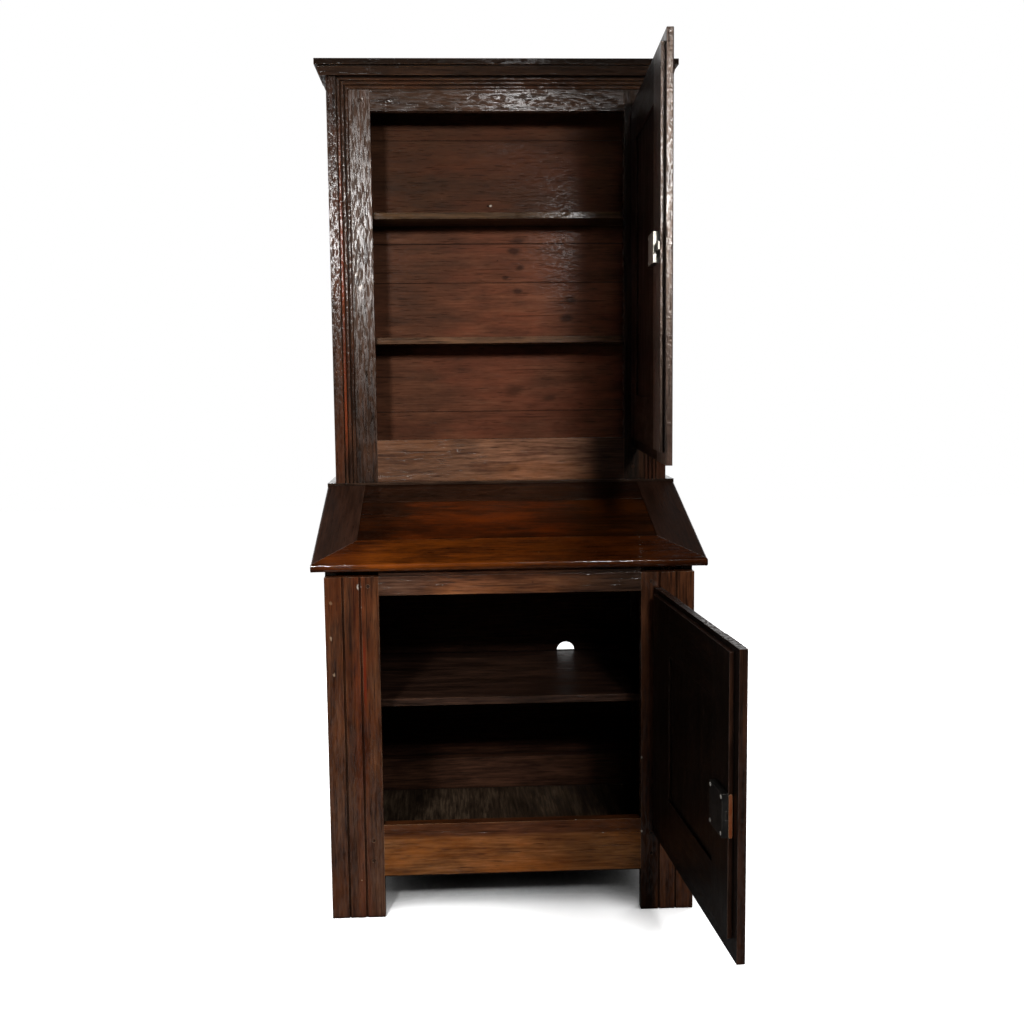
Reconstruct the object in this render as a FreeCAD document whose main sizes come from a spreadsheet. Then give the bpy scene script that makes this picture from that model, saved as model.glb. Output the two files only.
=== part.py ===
import FreeCAD, Part
import Sketcher
import os
import re

# Court cupboard in millimetres. X = 0 is the centre line, Y = 0 the lower front face, Z = 0 the floor;
# the front looks along -Y. Both doors are modelled standing open.
doc = FreeCAD.newDocument("court_cupboard")
sheet = doc.addObject("Spreadsheet::Sheet", "Sizes")

sizes = {
    # lower case
    "case_width": 820,
    "front_thick": 26,               # lower front stiles and rails
    "stile_width": 119,
    "stile_short": 11,               # the stiles stop this much short of the sloping board
    "rail_low": 97,                  # underside of the bottom rail, above the floor
    "bottom_rail_wide": 118,
    "top_rail_wide": 42,
    "rail_rebate": 10,               # the top rail's upper edge is rebated at the front, level with the stiles' tops
    "tenon_long": 46,
    "tenon_shoulder": 10,
    "tenon_share": 0.34,             # part of the wood's thickness that a tenon takes
    "scratch_wide": 5,               # grooves run down the lower stiles
    "scratch_deep": 4,
    "scratch_outer": 40,             # outer groove, from the stile's outer edge
    "scratch_inner": 78,
    "side_thick": 24,
    "side_rail_low": 60,
    "side_groove_deep": 10,
    "side_panel_thick": 10,
    "rear_thick": 34,                # posts and rail in front of the back boards
    "post_wide": 60,
    "rear_rail_wide": 88,
    "back_thick": 14,
    "back_gap": 0.8,                 # open joints between boards
    "back_joint_share": 0.5,         # where the second joint of the lower back falls between rail and shelf
    "hole_radius": 24,               # half-round cable hole at the shelf
    "hole_share": 0.4317,            # its place from the centre line, of the half width
    "floor_lift": 3,                 # floor above the bottom rail's underside
    "floor_thick": 16,
    "floor_joint_share": 0.4952,     # of the depth
    "bearer": 24,                    # square bearers under floor and shelf
    "shelf_share": 0.48566,          # of the opening's height
    "shelf_thick": 17,
    "shelf_front_share": 0.21565,    # of the depth
    "shelf_joint_share": 0.639,
    # sloping board and the flat top behind it
    "slope_overhang": 12,
    "slope_side": 28,                # overhang at each end
    "slope_low": 791,                # underside of the board at its front edge
    "slope_thick": 19,
    "slope_depth": 420,              # back edge of the slope, front edge of the flat top
    "slope_climb": 136,              # rise of the board from its front edge to its back edge
    "slope_step": 6,                 # the flat top stands this much above the slope
    "flat_deep": 206,                # the flat top, from the slope to the back
    "slope_front_wide": 119,
    "slope_back_wide": 103,
    "slope_side_wide": 94,
    "slope_tongue": 9,
    "slope_recess": 1.5,             # the panel lies below its frame
    "nose_round": 6,
    "flat_thick": 20,
    # upper case
    "upper_wider": 14,               # wider than the lower case
    "upper_set": 4,                  # front face of the upper case, behind the slope's back edge
    "upper_thick": 24,
    "upper_stile_wide": 105.4,
    "upper_tall": 998,
    "upper_foot_wide": 106,
    "upper_head_wide": 88,
    "upper_side_thick": 20,
    "upper_top_thick": 16,
    "upper_floor_drop": 18,          # floor below the bottom rail's top
    "upper_shelf_thick": 15.5,
    "shelf_one_share": 0.36273,      # tops of the two shelves, of the upper case's height
    "shelf_two_share": 0.67134,
    "upper_shelf_back": 26,          # shelf front, behind the upper front face
    "cleat": 18,
    "joint_one_share": 0.17134,      # joints of the back boards, of the upper case's height
    "joint_two_share": 0.50902,
    "joint_three_share": 0.61022,
    "joint_four_share": 0.87475,
    # mouldings
    "moulding_wide": 53,
    "moulding_band": 23,
    "moulding_proud": 4,
    "moulding_sunk": 5,
    "reed_groove": 2,
    "reed_deep": 4,
    "cornice_down": 6,               # the cornice starts below the case's top and ends above it
    "cornice_up": 31,
    "cornice_out": 26,
    "cornice_fillet": 14,
    "cornice_quirk": 4,
    "cornice_fascia_out": 20,
    "cornice_fascia_foot": 15,
    # doors: a lip lies on the case, a thinner layer fits the opening
    "seat_gap": 0.3,
    "fit_gap": 1.5,
    "pin_set": 4.3,                  # hinge axis, out from the lip's edge and from the case's face
    "panel_tongue": 8,
    "panel_groove": 9,
    "panel_play": 1,
    "field_margin": 38,
    "field_sunk": 3,
    "door_ease": 2,
    "upper_lap": 23,
    "upper_lap_top": 18.8,
    "upper_lap_low": 23.5,
    "upper_lip": 14,
    "upper_inner": 8.5,
    "upper_door_stile": 150,
    "upper_door_free": 150,
    "upper_door_top": 112,
    "upper_door_foot": 132,
    "upper_angle": 87.1,
    "lower_lap": 27.8,
    "lower_lap_top": 9,
    "lower_lap_low": 34,
    "lower_lip": 16,
    "lower_inner": 9,
    "lower_door_stile": 172,
    "lower_door_free": 133,
    "lower_door_top": 118,
    "lower_door_foot": 137,
    "lower_angle": 93.8,
    # hinges
    "hinge_tall": 60,
    "hinge_from_end": 88,
    "knuckle_share": 0.3,            # height of an end knuckle
    "knuckle_radius": 4,
    "knuckle_gap": 0.3,
    "pin_radius": 2,
    "pin_play": 0.06,
    "pin_stand": 1,
    "leaf_wide": 22,
    "leaf_thick": 2,
    # locks, on the doors' inner faces
    "lock_deep": 11,
    "upper_lock_tall": 62,
    "upper_lock_wide": 92,
    "upper_lock_set": 30,            # from the inner layer's free edge
    "upper_lock_share": 0.51244,     # of the opening's height
    "lower_lock_tall": 80,
    "lower_lock_wide": 81,
    "lower_lock_set": 1.5,
    "lower_lock_share": 0.43403,
    "bolt_thick": 5,
    "bolt_tall": 16,
    "bolt_gap": 0.3,
    "bolt_hide": 1.2,                # the drawn-back bolt stays inside the door's edge
    "bolt_throw": 12,
    "keep_play": 1.5,
    # pegs
    "peg_radius": 4,
    "peg_play": 0.1,
    "peg_long": 20,
}
# Heights and depths that follow from the sizes.
relations = {
    "stile_top": "slope_low - stile_short",
    "opening_low": "rail_low + bottom_rail_wide",
    "opening_high": "stile_top - top_rail_wide",
    "rear_rail_high": "rail_low + rear_rail_wide",
    "floor_high": "rail_low + floor_lift",
    "shelf_high": "opening_low + (opening_high - opening_low) * shelf_share",
    "depth": "slope_depth + flat_deep",
    "floor_joint": "depth * floor_joint_share",
    "shelf_front": "depth * shelf_front_share",
    "shelf_joint": "depth * shelf_joint_share",
    "hole_side": "case_width / 2 * hole_share",
    "flat_top": "slope_low + slope_thick + slope_climb + slope_step",
    "upper_width": "case_width + upper_wider",
    "upper_front": "slope_depth + upper_set",
    "upper_high": "flat_top + upper_tall",
    "upper_open_low": "flat_top + upper_foot_wide",
    "upper_open_high": "upper_high - upper_head_wide",
    "upper_floor_high": "upper_open_low - upper_floor_drop",
    "upper_shelf_one": "flat_top + upper_tall * shelf_one_share",
    "upper_shelf_two": "flat_top + upper_tall * shelf_two_share",
    "back_joint_one": "flat_top + upper_tall * joint_one_share",
    "back_joint_two": "flat_top + upper_tall * joint_two_share",
    "back_joint_three": "flat_top + upper_tall * joint_three_share",
    "back_joint_four": "flat_top + upper_tall * joint_four_share",
    "cornice_low": "upper_high - cornice_down",
    "cornice_high": "upper_high + cornice_up",
    "top_reeds_low": "cornice_low - (moulding_wide - moulding_band)",
    "upper_lock_mid": "upper_open_low + (upper_open_high - upper_open_low) * upper_lock_share",
    "lower_lock_mid": "opening_low + (opening_high - opening_low) * lower_lock_share",
}
cells = dict(sizes)
cells.update({name: f"={text}" for name, text in relations.items()})
for row, (name, value) in enumerate(cells.items(), 1):
    sheet.set(f"A{row}", name)
    sheet.set(f"B{row}", str(value))
    sheet.setAlias(f"B{row}", name)
doc.recompute()

PLANES = {"XY": "XY_Plane", "XZ": "XZ_Plane", "YZ": "YZ_Plane"}


# An expression written with the bare names of sizes.
def bound(text):
    return re.sub(r"[a-z][a-z_]*", lambda m: "Sizes." + m[0] if m[0] in cells else m[0], str(text))


def bind(thing, **values):
    for path, text in values.items():
        thing.setExpression(path.replace("__", "."), bound(text))


# A wooden or metal piece, either in the case's frame or in a door's, whose origin is its hinge axis.
def piece(name, door=None):
    body = doc.addObject("PartDesign::Body", name)
    body.Label = name
    if door:
        hang(body, door)
    return body


def hang(thing, door):
    thing.Placement = FreeCAD.Placement(FreeCAD.Vector(), FreeCAD.Rotation(FreeCAD.Vector(0, 0, 1), 1))
    bind(thing, Placement__Base__x=door["pivot_x"], Placement__Base__y=door["pivot_y"])
    bind(thing, Placement__Rotation__Angle=door["angle"])


def plane_sketch(body, plane, start):
    sketch = body.newObject("Sketcher::SketchObject", f"{body.Name}_{plane.lower()}")
    support = [p for p in body.Origin.OriginFeatures if p.Role == PLANES[plane]][0]
    sketch.AttachmentSupport = (support, [""])
    sketch.MapMode = "FlatFace"
    sign = "-" if plane == "XZ" else ""
    sketch.setExpression("AttachmentOffset.Base.z", f"{sign}({bound(start)})")
    return sketch


# A closed outline; each corner is held by its two distances from the origin.
def draw(sketch, points):
    first = sketch.GeometryCount
    spots = [[float(sketch.evalExpression(bound(c))) for c in point] for point in points]
    corners = [FreeCAD.Vector(x, y, 0) for x, y in spots]
    count = len(corners)
    sketch.addGeometry([Part.LineSegment(corners[i], corners[(i + 1) % count]) for i in range(count)])
    for i in range(count):
        after = first + (i + 1) % count
        sketch.addConstraint(Sketcher.Constraint("Coincident", first + i, 2, after, 1))
    for i, (x, y) in enumerate(points):
        for kind, text, spot in (("DistanceX", x, spots[i][0]), ("DistanceY", y, spots[i][1])):
            index = sketch.addConstraint(Sketcher.Constraint(kind, -1, 1, first + i, 1, spot))
            sketch.setExpression(f"Constraints[{index}]", bound(text))


def draw_round(sketch, x, y, radius):
    spot = [float(sketch.evalExpression(bound(c))) for c in (x, y, radius)]
    index = sketch.GeometryCount
    sketch.addGeometry(Part.Circle(FreeCAD.Vector(spot[0], spot[1], 0), FreeCAD.Vector(0, 0, 1), spot[2]))
    for kind, value, text in (("DistanceX", spot[0], x), ("DistanceY", spot[1], y)):
        at = sketch.addConstraint(Sketcher.Constraint(kind, -1, 1, index, 3, value))
        sketch.setExpression(f"Constraints[{at}]", bound(text))
    at = sketch.addConstraint(Sketcher.Constraint("Radius", index, spot[2]))
    sketch.setExpression(f"Constraints[{at}]", bound(radius))


# Material between start and end along the axis that the plane faces: X for YZ, Y for XZ, Z for XY.
def add(body, plane, outlines, start, end):
    sketch = plane_sketch(body, plane, start)
    for points in outlines:
        draw(sketch, points)
    feature = body.newObject("PartDesign::Pad", f"{body.Name}_pad")
    feature.Profile = sketch
    feature.Reversed = plane == "XZ"
    bind(feature, Length=f"({end}) - ({start})")
    doc.recompute()


def cut(body, plane, outlines, start, end, rounds=()):
    before = body.Shape.Volume
    sketch = plane_sketch(body, plane, start)
    for points in outlines:
        draw(sketch, points)
    for x, y, radius in rounds:
        draw_round(sketch, x, y, radius)
    feature = body.newObject("PartDesign::Pocket", f"{body.Name}_pocket")
    feature.Profile = sketch
    feature.Reversed = plane != "XZ"
    bind(feature, Length=f"({end}) - ({start})")
    doc.recompute()
    if not body.Shape.Volume < before:
        raise ValueError(f"{body.Label}: a pocket misses the piece")


# Rounds or bevels the straight edges that the test picks by their middle point and direction.
def ease(body, kind, size, test):
    base = body.Tip
    names = []
    for i, edge in enumerate(base.Shape.Edges, 1):
        if edge.Curve.TypeId == "Part::GeomLine":
            middle = edge.valueAt((edge.FirstParameter + edge.LastParameter) / 2)
            if test(middle, edge.tangentAt(edge.FirstParameter)):
                names.append(f"Edge{i}")
    feature = body.newObject(f"PartDesign::{kind}", f"{body.Name}_{kind.lower()}")
    feature.Base = (base, names)
    bind(feature, **{"Radius" if kind == "Fillet" else "Size": size})
    doc.recompute()


def number(text):
    return float(sheet.evalExpression(bound(text)))


def box(u0, v0, u1, v1):
    return [(u0, v0), (u1, v0), (u1, v1), (u0, v1)]


# The same stretch on the left (-1) or the right (1) of the centre line.
def span(hand, inner, outer):
    return (inner, outer) if hand > 0 else (f"-({outer})", f"-({inner})")


def mirrored(hand, points):
    return [(f"{hand} * ({x})", y) for x, y in points]


def block(name, x0, x1, y0, y1, z0, z1):
    thing = doc.addObject("Part::Box", name)
    bind(thing, Length=f"({x1}) - ({x0})", Width=f"({y1}) - ({y0})", Height=f"({z1}) - ({z0})")
    bind(thing, Placement__Base__x=x0, Placement__Base__y=y0, Placement__Base__z=z0)
    return thing


def rod(name, x, y, z, radius, length):
    thing = doc.addObject("Part::Cylinder", name)
    bind(thing, Radius=radius, Height=length, Placement__Base__x=x, Placement__Base__y=y, Placement__Base__z=z)
    return thing


def joined(name, parts):
    thing = doc.addObject("Part::MultiFuse", name)
    thing.Shapes = parts
    return thing


def less(name, base, tool):
    thing = doc.addObject("Part::Cut", name)
    thing.Base = base
    thing.Tool = tool
    return thing


def together(name, parts):
    thing = doc.addObject("Part::Compound", name)
    thing.Links = parts
    thing.Label = name
    return thing


HANDS = (("left", -1), ("right", 1))
nodes = []

# The lower case.
half = "(case_width / 2)"
stile_in = f"({half} - stile_width)"
rear_y = "(depth - back_thick - rear_thick)"
wall_y = "(depth - back_thick)"
flat_low = "(flat_top - flat_thick)"
tenon_y0 = "(front_thick * (1 - tenon_share) / 2)"
tenon_y1 = "(front_thick * (1 + tenon_share) / 2)"
tongue_x0 = f"({half} - (side_thick + side_panel_thick) / 2)"
tongue_x1 = f"({half} - (side_thick - side_panel_thick) / 2)"
tongue_out = "(side_groove_deep - panel_play)"
rise = "((flat_top - slope_step - slope_low - slope_thick) / (slope_depth + slope_overhang))"
peg_hole = "peg_radius + peg_play"
peg_x = f"({stile_in} + tenon_long / 2)"
peg_drop = "(front_thick / 2)"
bottom_pegs = ["rail_low + (opening_low - rail_low) * 0.3", "rail_low + (opening_low - rail_low) * 0.7"]
top_peg = "(opening_high + stile_top) / 2"


# Heights of the sloping board's lower and upper face over a depth.
def under(y):
    return f"(slope_low + {rise} * (({y}) + slope_overhang))"


def above(y):
    return f"({under(y)} + slope_thick)"


for side, hand in HANDS:
    stile = piece(f"lower_{side}_front_stile")
    add(stile, "XY", [mirrored(hand, box(stile_in, "0", half, "front_thick"))], "0", "stile_top")
    for groove in ("scratch_outer", "scratch_inner"):
        middle = f"{half} - {groove}"
        outline = [
            (f"{middle} - scratch_wide / 2", "0"),
            (f"{middle} - scratch_wide / 4", "scratch_deep"),
            (f"{middle} + scratch_wide / 4", "scratch_deep"),
            (f"{middle} + scratch_wide / 2", "0"),
        ]
        cut(stile, "XY", [mirrored(hand, outline)], "0", "stile_top")
    back_groove = box(tongue_x0, "front_thick - side_groove_deep", tongue_x1, "front_thick")
    cut(stile, "XY", [mirrored(hand, back_groove)], "side_rail_low", "stile_top - tenon_shoulder")
    mortices = [
        box(tenon_y0, "rail_low + tenon_shoulder", tenon_y1, "opening_low - tenon_shoulder"),
        box(tenon_y0, "opening_high + tenon_shoulder", tenon_y1, "stile_top - tenon_shoulder"),
    ]
    cut(stile, "YZ", mortices, *span(hand, stile_in, f"{stile_in} + tenon_long + panel_play"))
    holes = [(f"{hand} * {peg_x}", z, peg_hole) for z in bottom_pegs + [top_peg]]
    cut(stile, "XZ", [], "0", "peg_long", holes)
    nodes.append(stile)

top_rail = piece("lower_top_rail")
profile = [
    ("0", "opening_high"),
    ("front_thick", "opening_high"),
    ("front_thick", under("front_thick")),
    ("rail_rebate", under("rail_rebate")),
    ("rail_rebate", "stile_top"),
    ("0", "stile_top"),
]
add(top_rail, "YZ", [profile], f"-{stile_in}", stile_in)
tenon = box(f"-{stile_in} - tenon_long", "opening_high + tenon_shoulder",
            f"{stile_in} + tenon_long", "stile_top - tenon_shoulder")
add(top_rail, "XZ", [tenon], tenon_y0, tenon_y1)
cut(top_rail, "XZ", [], "0", "front_thick", [(f"{hand} * {peg_x}", top_peg, peg_hole) for side, hand in HANDS])
nodes.append(top_rail)

bottom_rail = piece("lower_bottom_rail")
add(bottom_rail, "XZ", [box(f"-{stile_in}", "rail_low", stile_in, "opening_low")], "0", "front_thick")
tenon = box(f"-{stile_in} - tenon_long", "rail_low + tenon_shoulder",
            f"{stile_in} + tenon_long", "opening_low - tenon_shoulder")
add(bottom_rail, "XZ", [tenon], tenon_y0, tenon_y1)
holes = [(f"{hand} * {peg_x}", z, peg_hole) for side, hand in HANDS for z in bottom_pegs]
cut(bottom_rail, "XZ", [], "0", "front_thick", holes)
nodes.append(bottom_rail)

rear_tenon_y0 = f"({rear_y} + rear_thick * (1 - tenon_share) / 2)"
rear_tenon_y1 = f"({rear_y} + rear_thick * (1 + tenon_share) / 2)"
post_in = f"({half} - post_wide)"
rear_tenon = "(tenon_long * 0.7)"
for side, hand in HANDS:
    post = piece(f"lower_{side}_rear_post")
    add(post, "XY", [mirrored(hand, box(post_in, rear_y, half, wall_y))], "0", flat_low)
    groove = box(tongue_x0, rear_y, tongue_x1, f"{rear_y} + side_groove_deep")
    cut(post, "XY", [mirrored(hand, groove)], "side_rail_low", f"{flat_low} - tenon_shoulder")
    mortice = box(rear_tenon_y0, "rail_low + tenon_shoulder", rear_tenon_y1, "rear_rail_high - tenon_shoulder")
    cut(post, "YZ", [mortice], *span(hand, post_in, f"{post_in} + {rear_tenon} + panel_play"))
    nodes.append(post)

rear_rail = piece("lower_rear_bottom_rail")
add(rear_rail, "XZ", [box(f"-{post_in}", "rail_low", post_in, "rear_rail_high")], rear_y, wall_y)
tenon = box(f"-{post_in} - {rear_tenon}", "rail_low + tenon_shoulder",
            f"{post_in} + {rear_tenon}", "rear_rail_high - tenon_shoulder")
add(rear_rail, "XZ", [tenon], rear_tenon_y0, rear_tenon_y1)
nodes.append(rear_rail)

# Sides: two rails with stub tenons, and a panel, in grooves of the stile and the post.
rail_out = f"(front_thick - {tongue_out})"
rail_back = f"({rear_y} + {tongue_out})"
for side, hand in HANDS:
    full_x = span(hand, f"{half} - side_thick", half)
    tongue_x = span(hand, tongue_x0, tongue_x1)
    rail = piece(f"lower_{side}_side_top_rail")
    profile = [
        ("front_thick", "opening_high"),
        (rear_y, "opening_high"),
        (rear_y, flat_low),
        ("slope_depth", flat_low),
        ("slope_depth", under("slope_depth")),
        ("front_thick", under("front_thick")),
    ]
    add(rail, "YZ", [profile], *full_x)
    add(rail, "YZ", [box(rail_out, "opening_high", rail_back, "stile_top - tenon_shoulder")], *tongue_x)
    cut(rail, "YZ", [box(rail_out, "opening_high", rail_back, "opening_high + side_groove_deep")], *tongue_x)
    nodes.append(rail)
    rail = piece(f"lower_{side}_side_bottom_rail")
    add(rail, "YZ", [box("front_thick", "side_rail_low", rear_y, "opening_low")], *full_x)
    add(rail, "YZ", [box(rail_out, "side_rail_low", rail_back, "opening_low")], *tongue_x)
    cut(rail, "YZ", [box(rail_out, "opening_low - side_groove_deep", rail_back, "opening_low")], *tongue_x)
    nodes.append(rail)
    panel = piece(f"lower_{side}_side_panel")
    outline = box(rail_out, f"opening_low - {tongue_out}", rail_back, f"opening_high + {tongue_out}")
    add(panel, "YZ", [outline], *tongue_x)
    nodes.append(panel)

# Back boards lie across the back, open at the joints; one has a half-round hole at the shelf.
joint_low = "(rail_low + (shelf_high - rail_low) * back_joint_share)"
joint_high = f"({flat_low} - (shelf_high - rail_low) * back_joint_share)"
levels = ["rail_low", joint_low, "shelf_high", joint_high, flat_low]
boards = []
for i in range(len(levels) - 1):
    lift = "back_gap" if i else "0"
    board = block(f"lower_back_board_{i + 1}", f"-{half}", half, wall_y, "depth",
                  f"{levels[i]} + {lift}", levels[i + 1])
    if levels[i] == "shelf_high":
        hole = rod("lower_back_hole", "hole_side", wall_y, "shelf_high", "hole_radius", "back_thick")
        hole.Placement.Rotation = FreeCAD.Rotation(FreeCAD.Vector(1, 0, 0), -90)
        board = less("lower_back_board_holed", board, hole)
    boards.append(board)
nodes.append(together("lower_back_boards", boards))

inner_x = f"({half} - side_thick)"
floor_low = "floor_high - floor_thick"
nodes.append(together("lower_floor_boards", [
    block("floor_board_front", f"-{inner_x}", inner_x, "front_thick", "floor_joint", floor_low, "floor_high"),
    block("floor_board_rear", f"-{inner_x}", inner_x, "floor_joint + back_gap", rear_y, floor_low, "floor_high"),
]))
bearers = []
for side, hand in HANDS:
    bearer_x = span(hand, f"{inner_x} - bearer", inner_x)
    for use, top in (("floor", floor_low), ("shelf", "shelf_high - shelf_thick")):
        bearers.append(block(f"{side}_{use}_bearer", *bearer_x, "front_thick", rear_y, f"{top} - bearer", top))
nodes.append(together("lower_bearers", bearers))

shelf = piece("lower_shelf_front_board")
add(shelf, "XY", [box(f"-{inner_x}", "shelf_front", inner_x, "shelf_joint")],
    "shelf_high - shelf_thick", "shelf_high")
nodes.append(shelf)
shelf = piece("lower_shelf_rear_board")
outline = [
    (f"-{inner_x}", "shelf_joint + back_gap"),
    (inner_x, "shelf_joint + back_gap"),
    (inner_x, rear_y),
    (post_in, rear_y),
    (post_in, wall_y),
    (f"-{post_in}", wall_y),
    (f"-{post_in}", rear_y),
    (f"-{inner_x}", rear_y),
]
add(shelf, "XY", [outline], "shelf_high - shelf_thick", "shelf_high")
nodes.append(shelf)

# The sloping board and the flat top behind it.
slope_half = f"({half} + slope_side)"
field_x = f"({slope_half} - slope_side_wide)"
field_y0 = "(slope_front_wide - slope_overhang)"
field_y1 = "(slope_depth - slope_back_wide)"
slot_deep = "(slope_tongue + panel_play)"
nose_y = "-slope_overhang"


# A slanting layer of the board between two depths, from one share of its thickness to another.
def layer(y0, y1, low, high):
    return [
        (y0, f"{under(y0)} + {low}"),
        (y1, f"{under(y1)} + {low}"),
        (y1, f"{under(y1)} + {high}"),
        (y0, f"{under(y0)} + {high}"),
    ]


slot_low = "slope_thick * (1 - tenon_share) / 2"
slot_high = "slope_thick * (1 + tenon_share) / 2"
rail = piece("slope_front_rail")
add(rail, "YZ", [layer(nose_y, field_y0, "0", "slope_thick")], f"-{slope_half}", slope_half)
ease(rail, "Fillet", "nose_round",
     lambda p, t: abs(t.x) > 0.99 and p.y < 0)
slot = layer(f"{field_y0} - {slot_deep}", field_y0, slot_low, slot_high)
cut(rail, "YZ", [slot], f"-{field_x} - {slot_deep}", f"{field_x} + {slot_deep}")
mitres = [[(f"{h} * {slope_half}", nose_y), (f"{h} * {field_x}", field_y0), (f"{h} * {slope_half}", field_y0)]
          for side, h in HANDS]
cut(rail, "XY", mitres, "slope_low", "flat_top")
nodes.append(rail)

rail = piece("slope_back_rail")
add(rail, "YZ", [layer(field_y1, "slope_depth", "0", "slope_thick")], f"-{field_x}", field_x)
tail_y = "(slope_depth - tenon_shoulder)"
add(rail, "YZ", [layer(field_y1, tail_y, slot_low, slot_high)],
    f"-{field_x} - slope_tongue", f"{field_x} + slope_tongue")
cut(rail, "YZ", [layer(field_y1, f"{field_y1} + {slot_deep}", slot_low, slot_high)],
    f"-{field_x} - slope_tongue", f"{field_x} + slope_tongue")
nodes.append(rail)

for side, hand in HANDS:
    stile = piece(f"slope_{side}_stile")
    add(stile, "YZ", [layer(nose_y, "slope_depth", "0", "slope_thick")], *span(hand, field_x, slope_half))
    edge = number(slope_half)
    ease(stile, "Fillet", "nose_round",
         lambda p, t: abs(t.x) < 0.01 and abs(t.z) < 0.9 and abs(abs(p.x) - edge) < 0.01)
    slot = layer(f"{field_y0} - {slot_deep}", tail_y, slot_low, slot_high)
    cut(stile, "YZ", [slot], *span(hand, field_x, f"{field_x} + {slot_deep}"))
    mitre = [(f"{hand} * {slope_half}", nose_y), (f"{hand} * {field_x}", nose_y), (f"{hand} * {field_x}", field_y0)]
    cut(stile, "XY", [mitre], "slope_low", "flat_top")
    nodes.append(stile)

panel = piece("slope_panel")
add(panel, "YZ", [layer(f"{field_y0} - slope_tongue", f"{field_y1} + slope_tongue", slot_low, slot_high)],
    f"-{field_x} - slope_tongue", f"{field_x} + slope_tongue")
add(panel, "YZ", [layer(field_y0, field_y1, slot_low, "(slope_thick - slope_recess)")], f"-{field_x}", field_x)
nodes.append(panel)

board = piece("flat_top_board")
add(board, "XY", [box(f"-{slope_half}", "slope_depth", slope_half, "depth")], flat_low, "flat_top")
nodes.append(board)

# The upper case.
upper_half = "(upper_width / 2)"
upper_in = f"({upper_half} - upper_stile_wide)"
upper_back = "(upper_front + upper_thick)"
upper_tenon_y0 = "(upper_front + moulding_sunk + 1.5 * panel_play)"
upper_tenon_y1 = f"({upper_tenon_y0} + upper_thick * tenon_share)"
upper_peg_x = f"({upper_in} + tenon_long / 2)"
upper_low_pegs = ["flat_top + (upper_open_low - flat_top) * 0.3", "flat_top + (upper_open_low - flat_top) * 0.7"]
upper_top_peg = "(upper_open_high + top_reeds_low) / 2"

for side, hand in HANDS:
    stile = piece(f"upper_{side}_front_stile")
    add(stile, "XY", [mirrored(hand, box(upper_in, "upper_front", upper_half, upper_back))], "flat_top", "upper_high")
    rebate = box(f"{upper_half} - moulding_wide", "upper_front", upper_half, "upper_front + moulding_sunk")
    cut(stile, "XY", [mirrored(hand, rebate)], "flat_top", "cornice_low")
    rebate = box(upper_in, "top_reeds_low", f"{upper_half} - moulding_wide", "cornice_low")
    cut(stile, "XZ", [mirrored(hand, rebate)], "upper_front", "upper_front + moulding_sunk")
    mortices = [
        box(upper_tenon_y0, "flat_top + tenon_shoulder", upper_tenon_y1, "upper_open_low - tenon_shoulder"),
        box(upper_tenon_y0, "upper_open_high + tenon_shoulder", upper_tenon_y1, "upper_high - tenon_shoulder"),
    ]
    cut(stile, "YZ", mortices, *span(hand, upper_in, f"{upper_in} + tenon_long + panel_play"))
    holes = [(f"{hand} * {upper_peg_x}", z, peg_hole) for z in upper_low_pegs + [upper_top_peg]]
    cut(stile, "XZ", [], "upper_front", "upper_front + peg_long", holes)
    nodes.append(stile)

for name, low, high, pegs in (
        ("upper_bottom_rail", "flat_top", "upper_open_low", upper_low_pegs),
        ("upper_top_rail", "upper_open_high", "upper_high", [upper_top_peg])):
    rail = piece(name)
    add(rail, "XZ", [box(f"-{upper_in}", low, upper_in, high)], "upper_front", upper_back)
    tenon = box(f"-{upper_in} - tenon_long", f"{low} + tenon_shoulder",
                f"{upper_in} + tenon_long", f"{high} - tenon_shoulder")
    add(rail, "XZ", [tenon], upper_tenon_y0, upper_tenon_y1)
    holes = [(f"{hand} * {upper_peg_x}", z, peg_hole) for side, hand in HANDS for z in pegs]
    cut(rail, "XZ", [], "upper_front", upper_back, holes)
    if name == "upper_top_rail":
        rebate = box(f"-{upper_in}", "top_reeds_low", upper_in, "cornice_low")
        cut(rail, "XZ", [rebate], "upper_front", "upper_front + moulding_sunk")
    nodes.append(rail)

# Reeded mouldings, planted in a rebate of each stile: a flat band outside, three reeds inside. The reeds turn the
# corners with a mitre and run on across the top, under the cornice.
reed_count = 3
reed_pitch = f"((moulding_wide - moulding_band) / {reed_count})"
reeds_in, reeds_out = f"({upper_half} - moulding_wide)", f"({upper_half} - moulding_band)"
crown, bed = "(upper_front - moulding_proud)", "(upper_front + moulding_sunk)"
ground = f"({crown} + reed_deep)"


def reeds(start):
    """The three reeds' outline, as (across, out) pairs from `start` outwards."""
    points = []
    for i in range(reed_count):
        low = f"{start} + {i} * {reed_pitch}"
        high = f"{start} + {i + 1} * {reed_pitch} - reed_groove"
        points += [
            (low, ground),
            (low, f"{crown} + reed_deep * 0.35"),
            (f"{low} + reed_groove", crown),
            (f"{high} - reed_groove", crown),
            (high, f"{crown} + reed_deep * 0.35"),
            (high, ground),
        ]
    return points


side_mouldings = []
for side, hand in HANDS:
    moulding = piece(f"{side}_moulding_length")
    outline = [(upper_half, bed), (reeds_in, bed)] + reeds(reeds_in)
    outline += [(reeds_out, ground), (reeds_out, crown), (upper_half, crown)]
    add(moulding, "XY", [mirrored(hand, outline)], "flat_top", "cornice_low")
    mitre = [(reeds_in, "top_reeds_low"), (reeds_out, "cornice_low"), (reeds_in, "cornice_low")]
    cut(moulding, "XZ", [mirrored(hand, mitre)], crown, bed)
    side_mouldings.append(moulding)
nodes.append(together("side_reeded_mouldings", side_mouldings))

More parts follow.
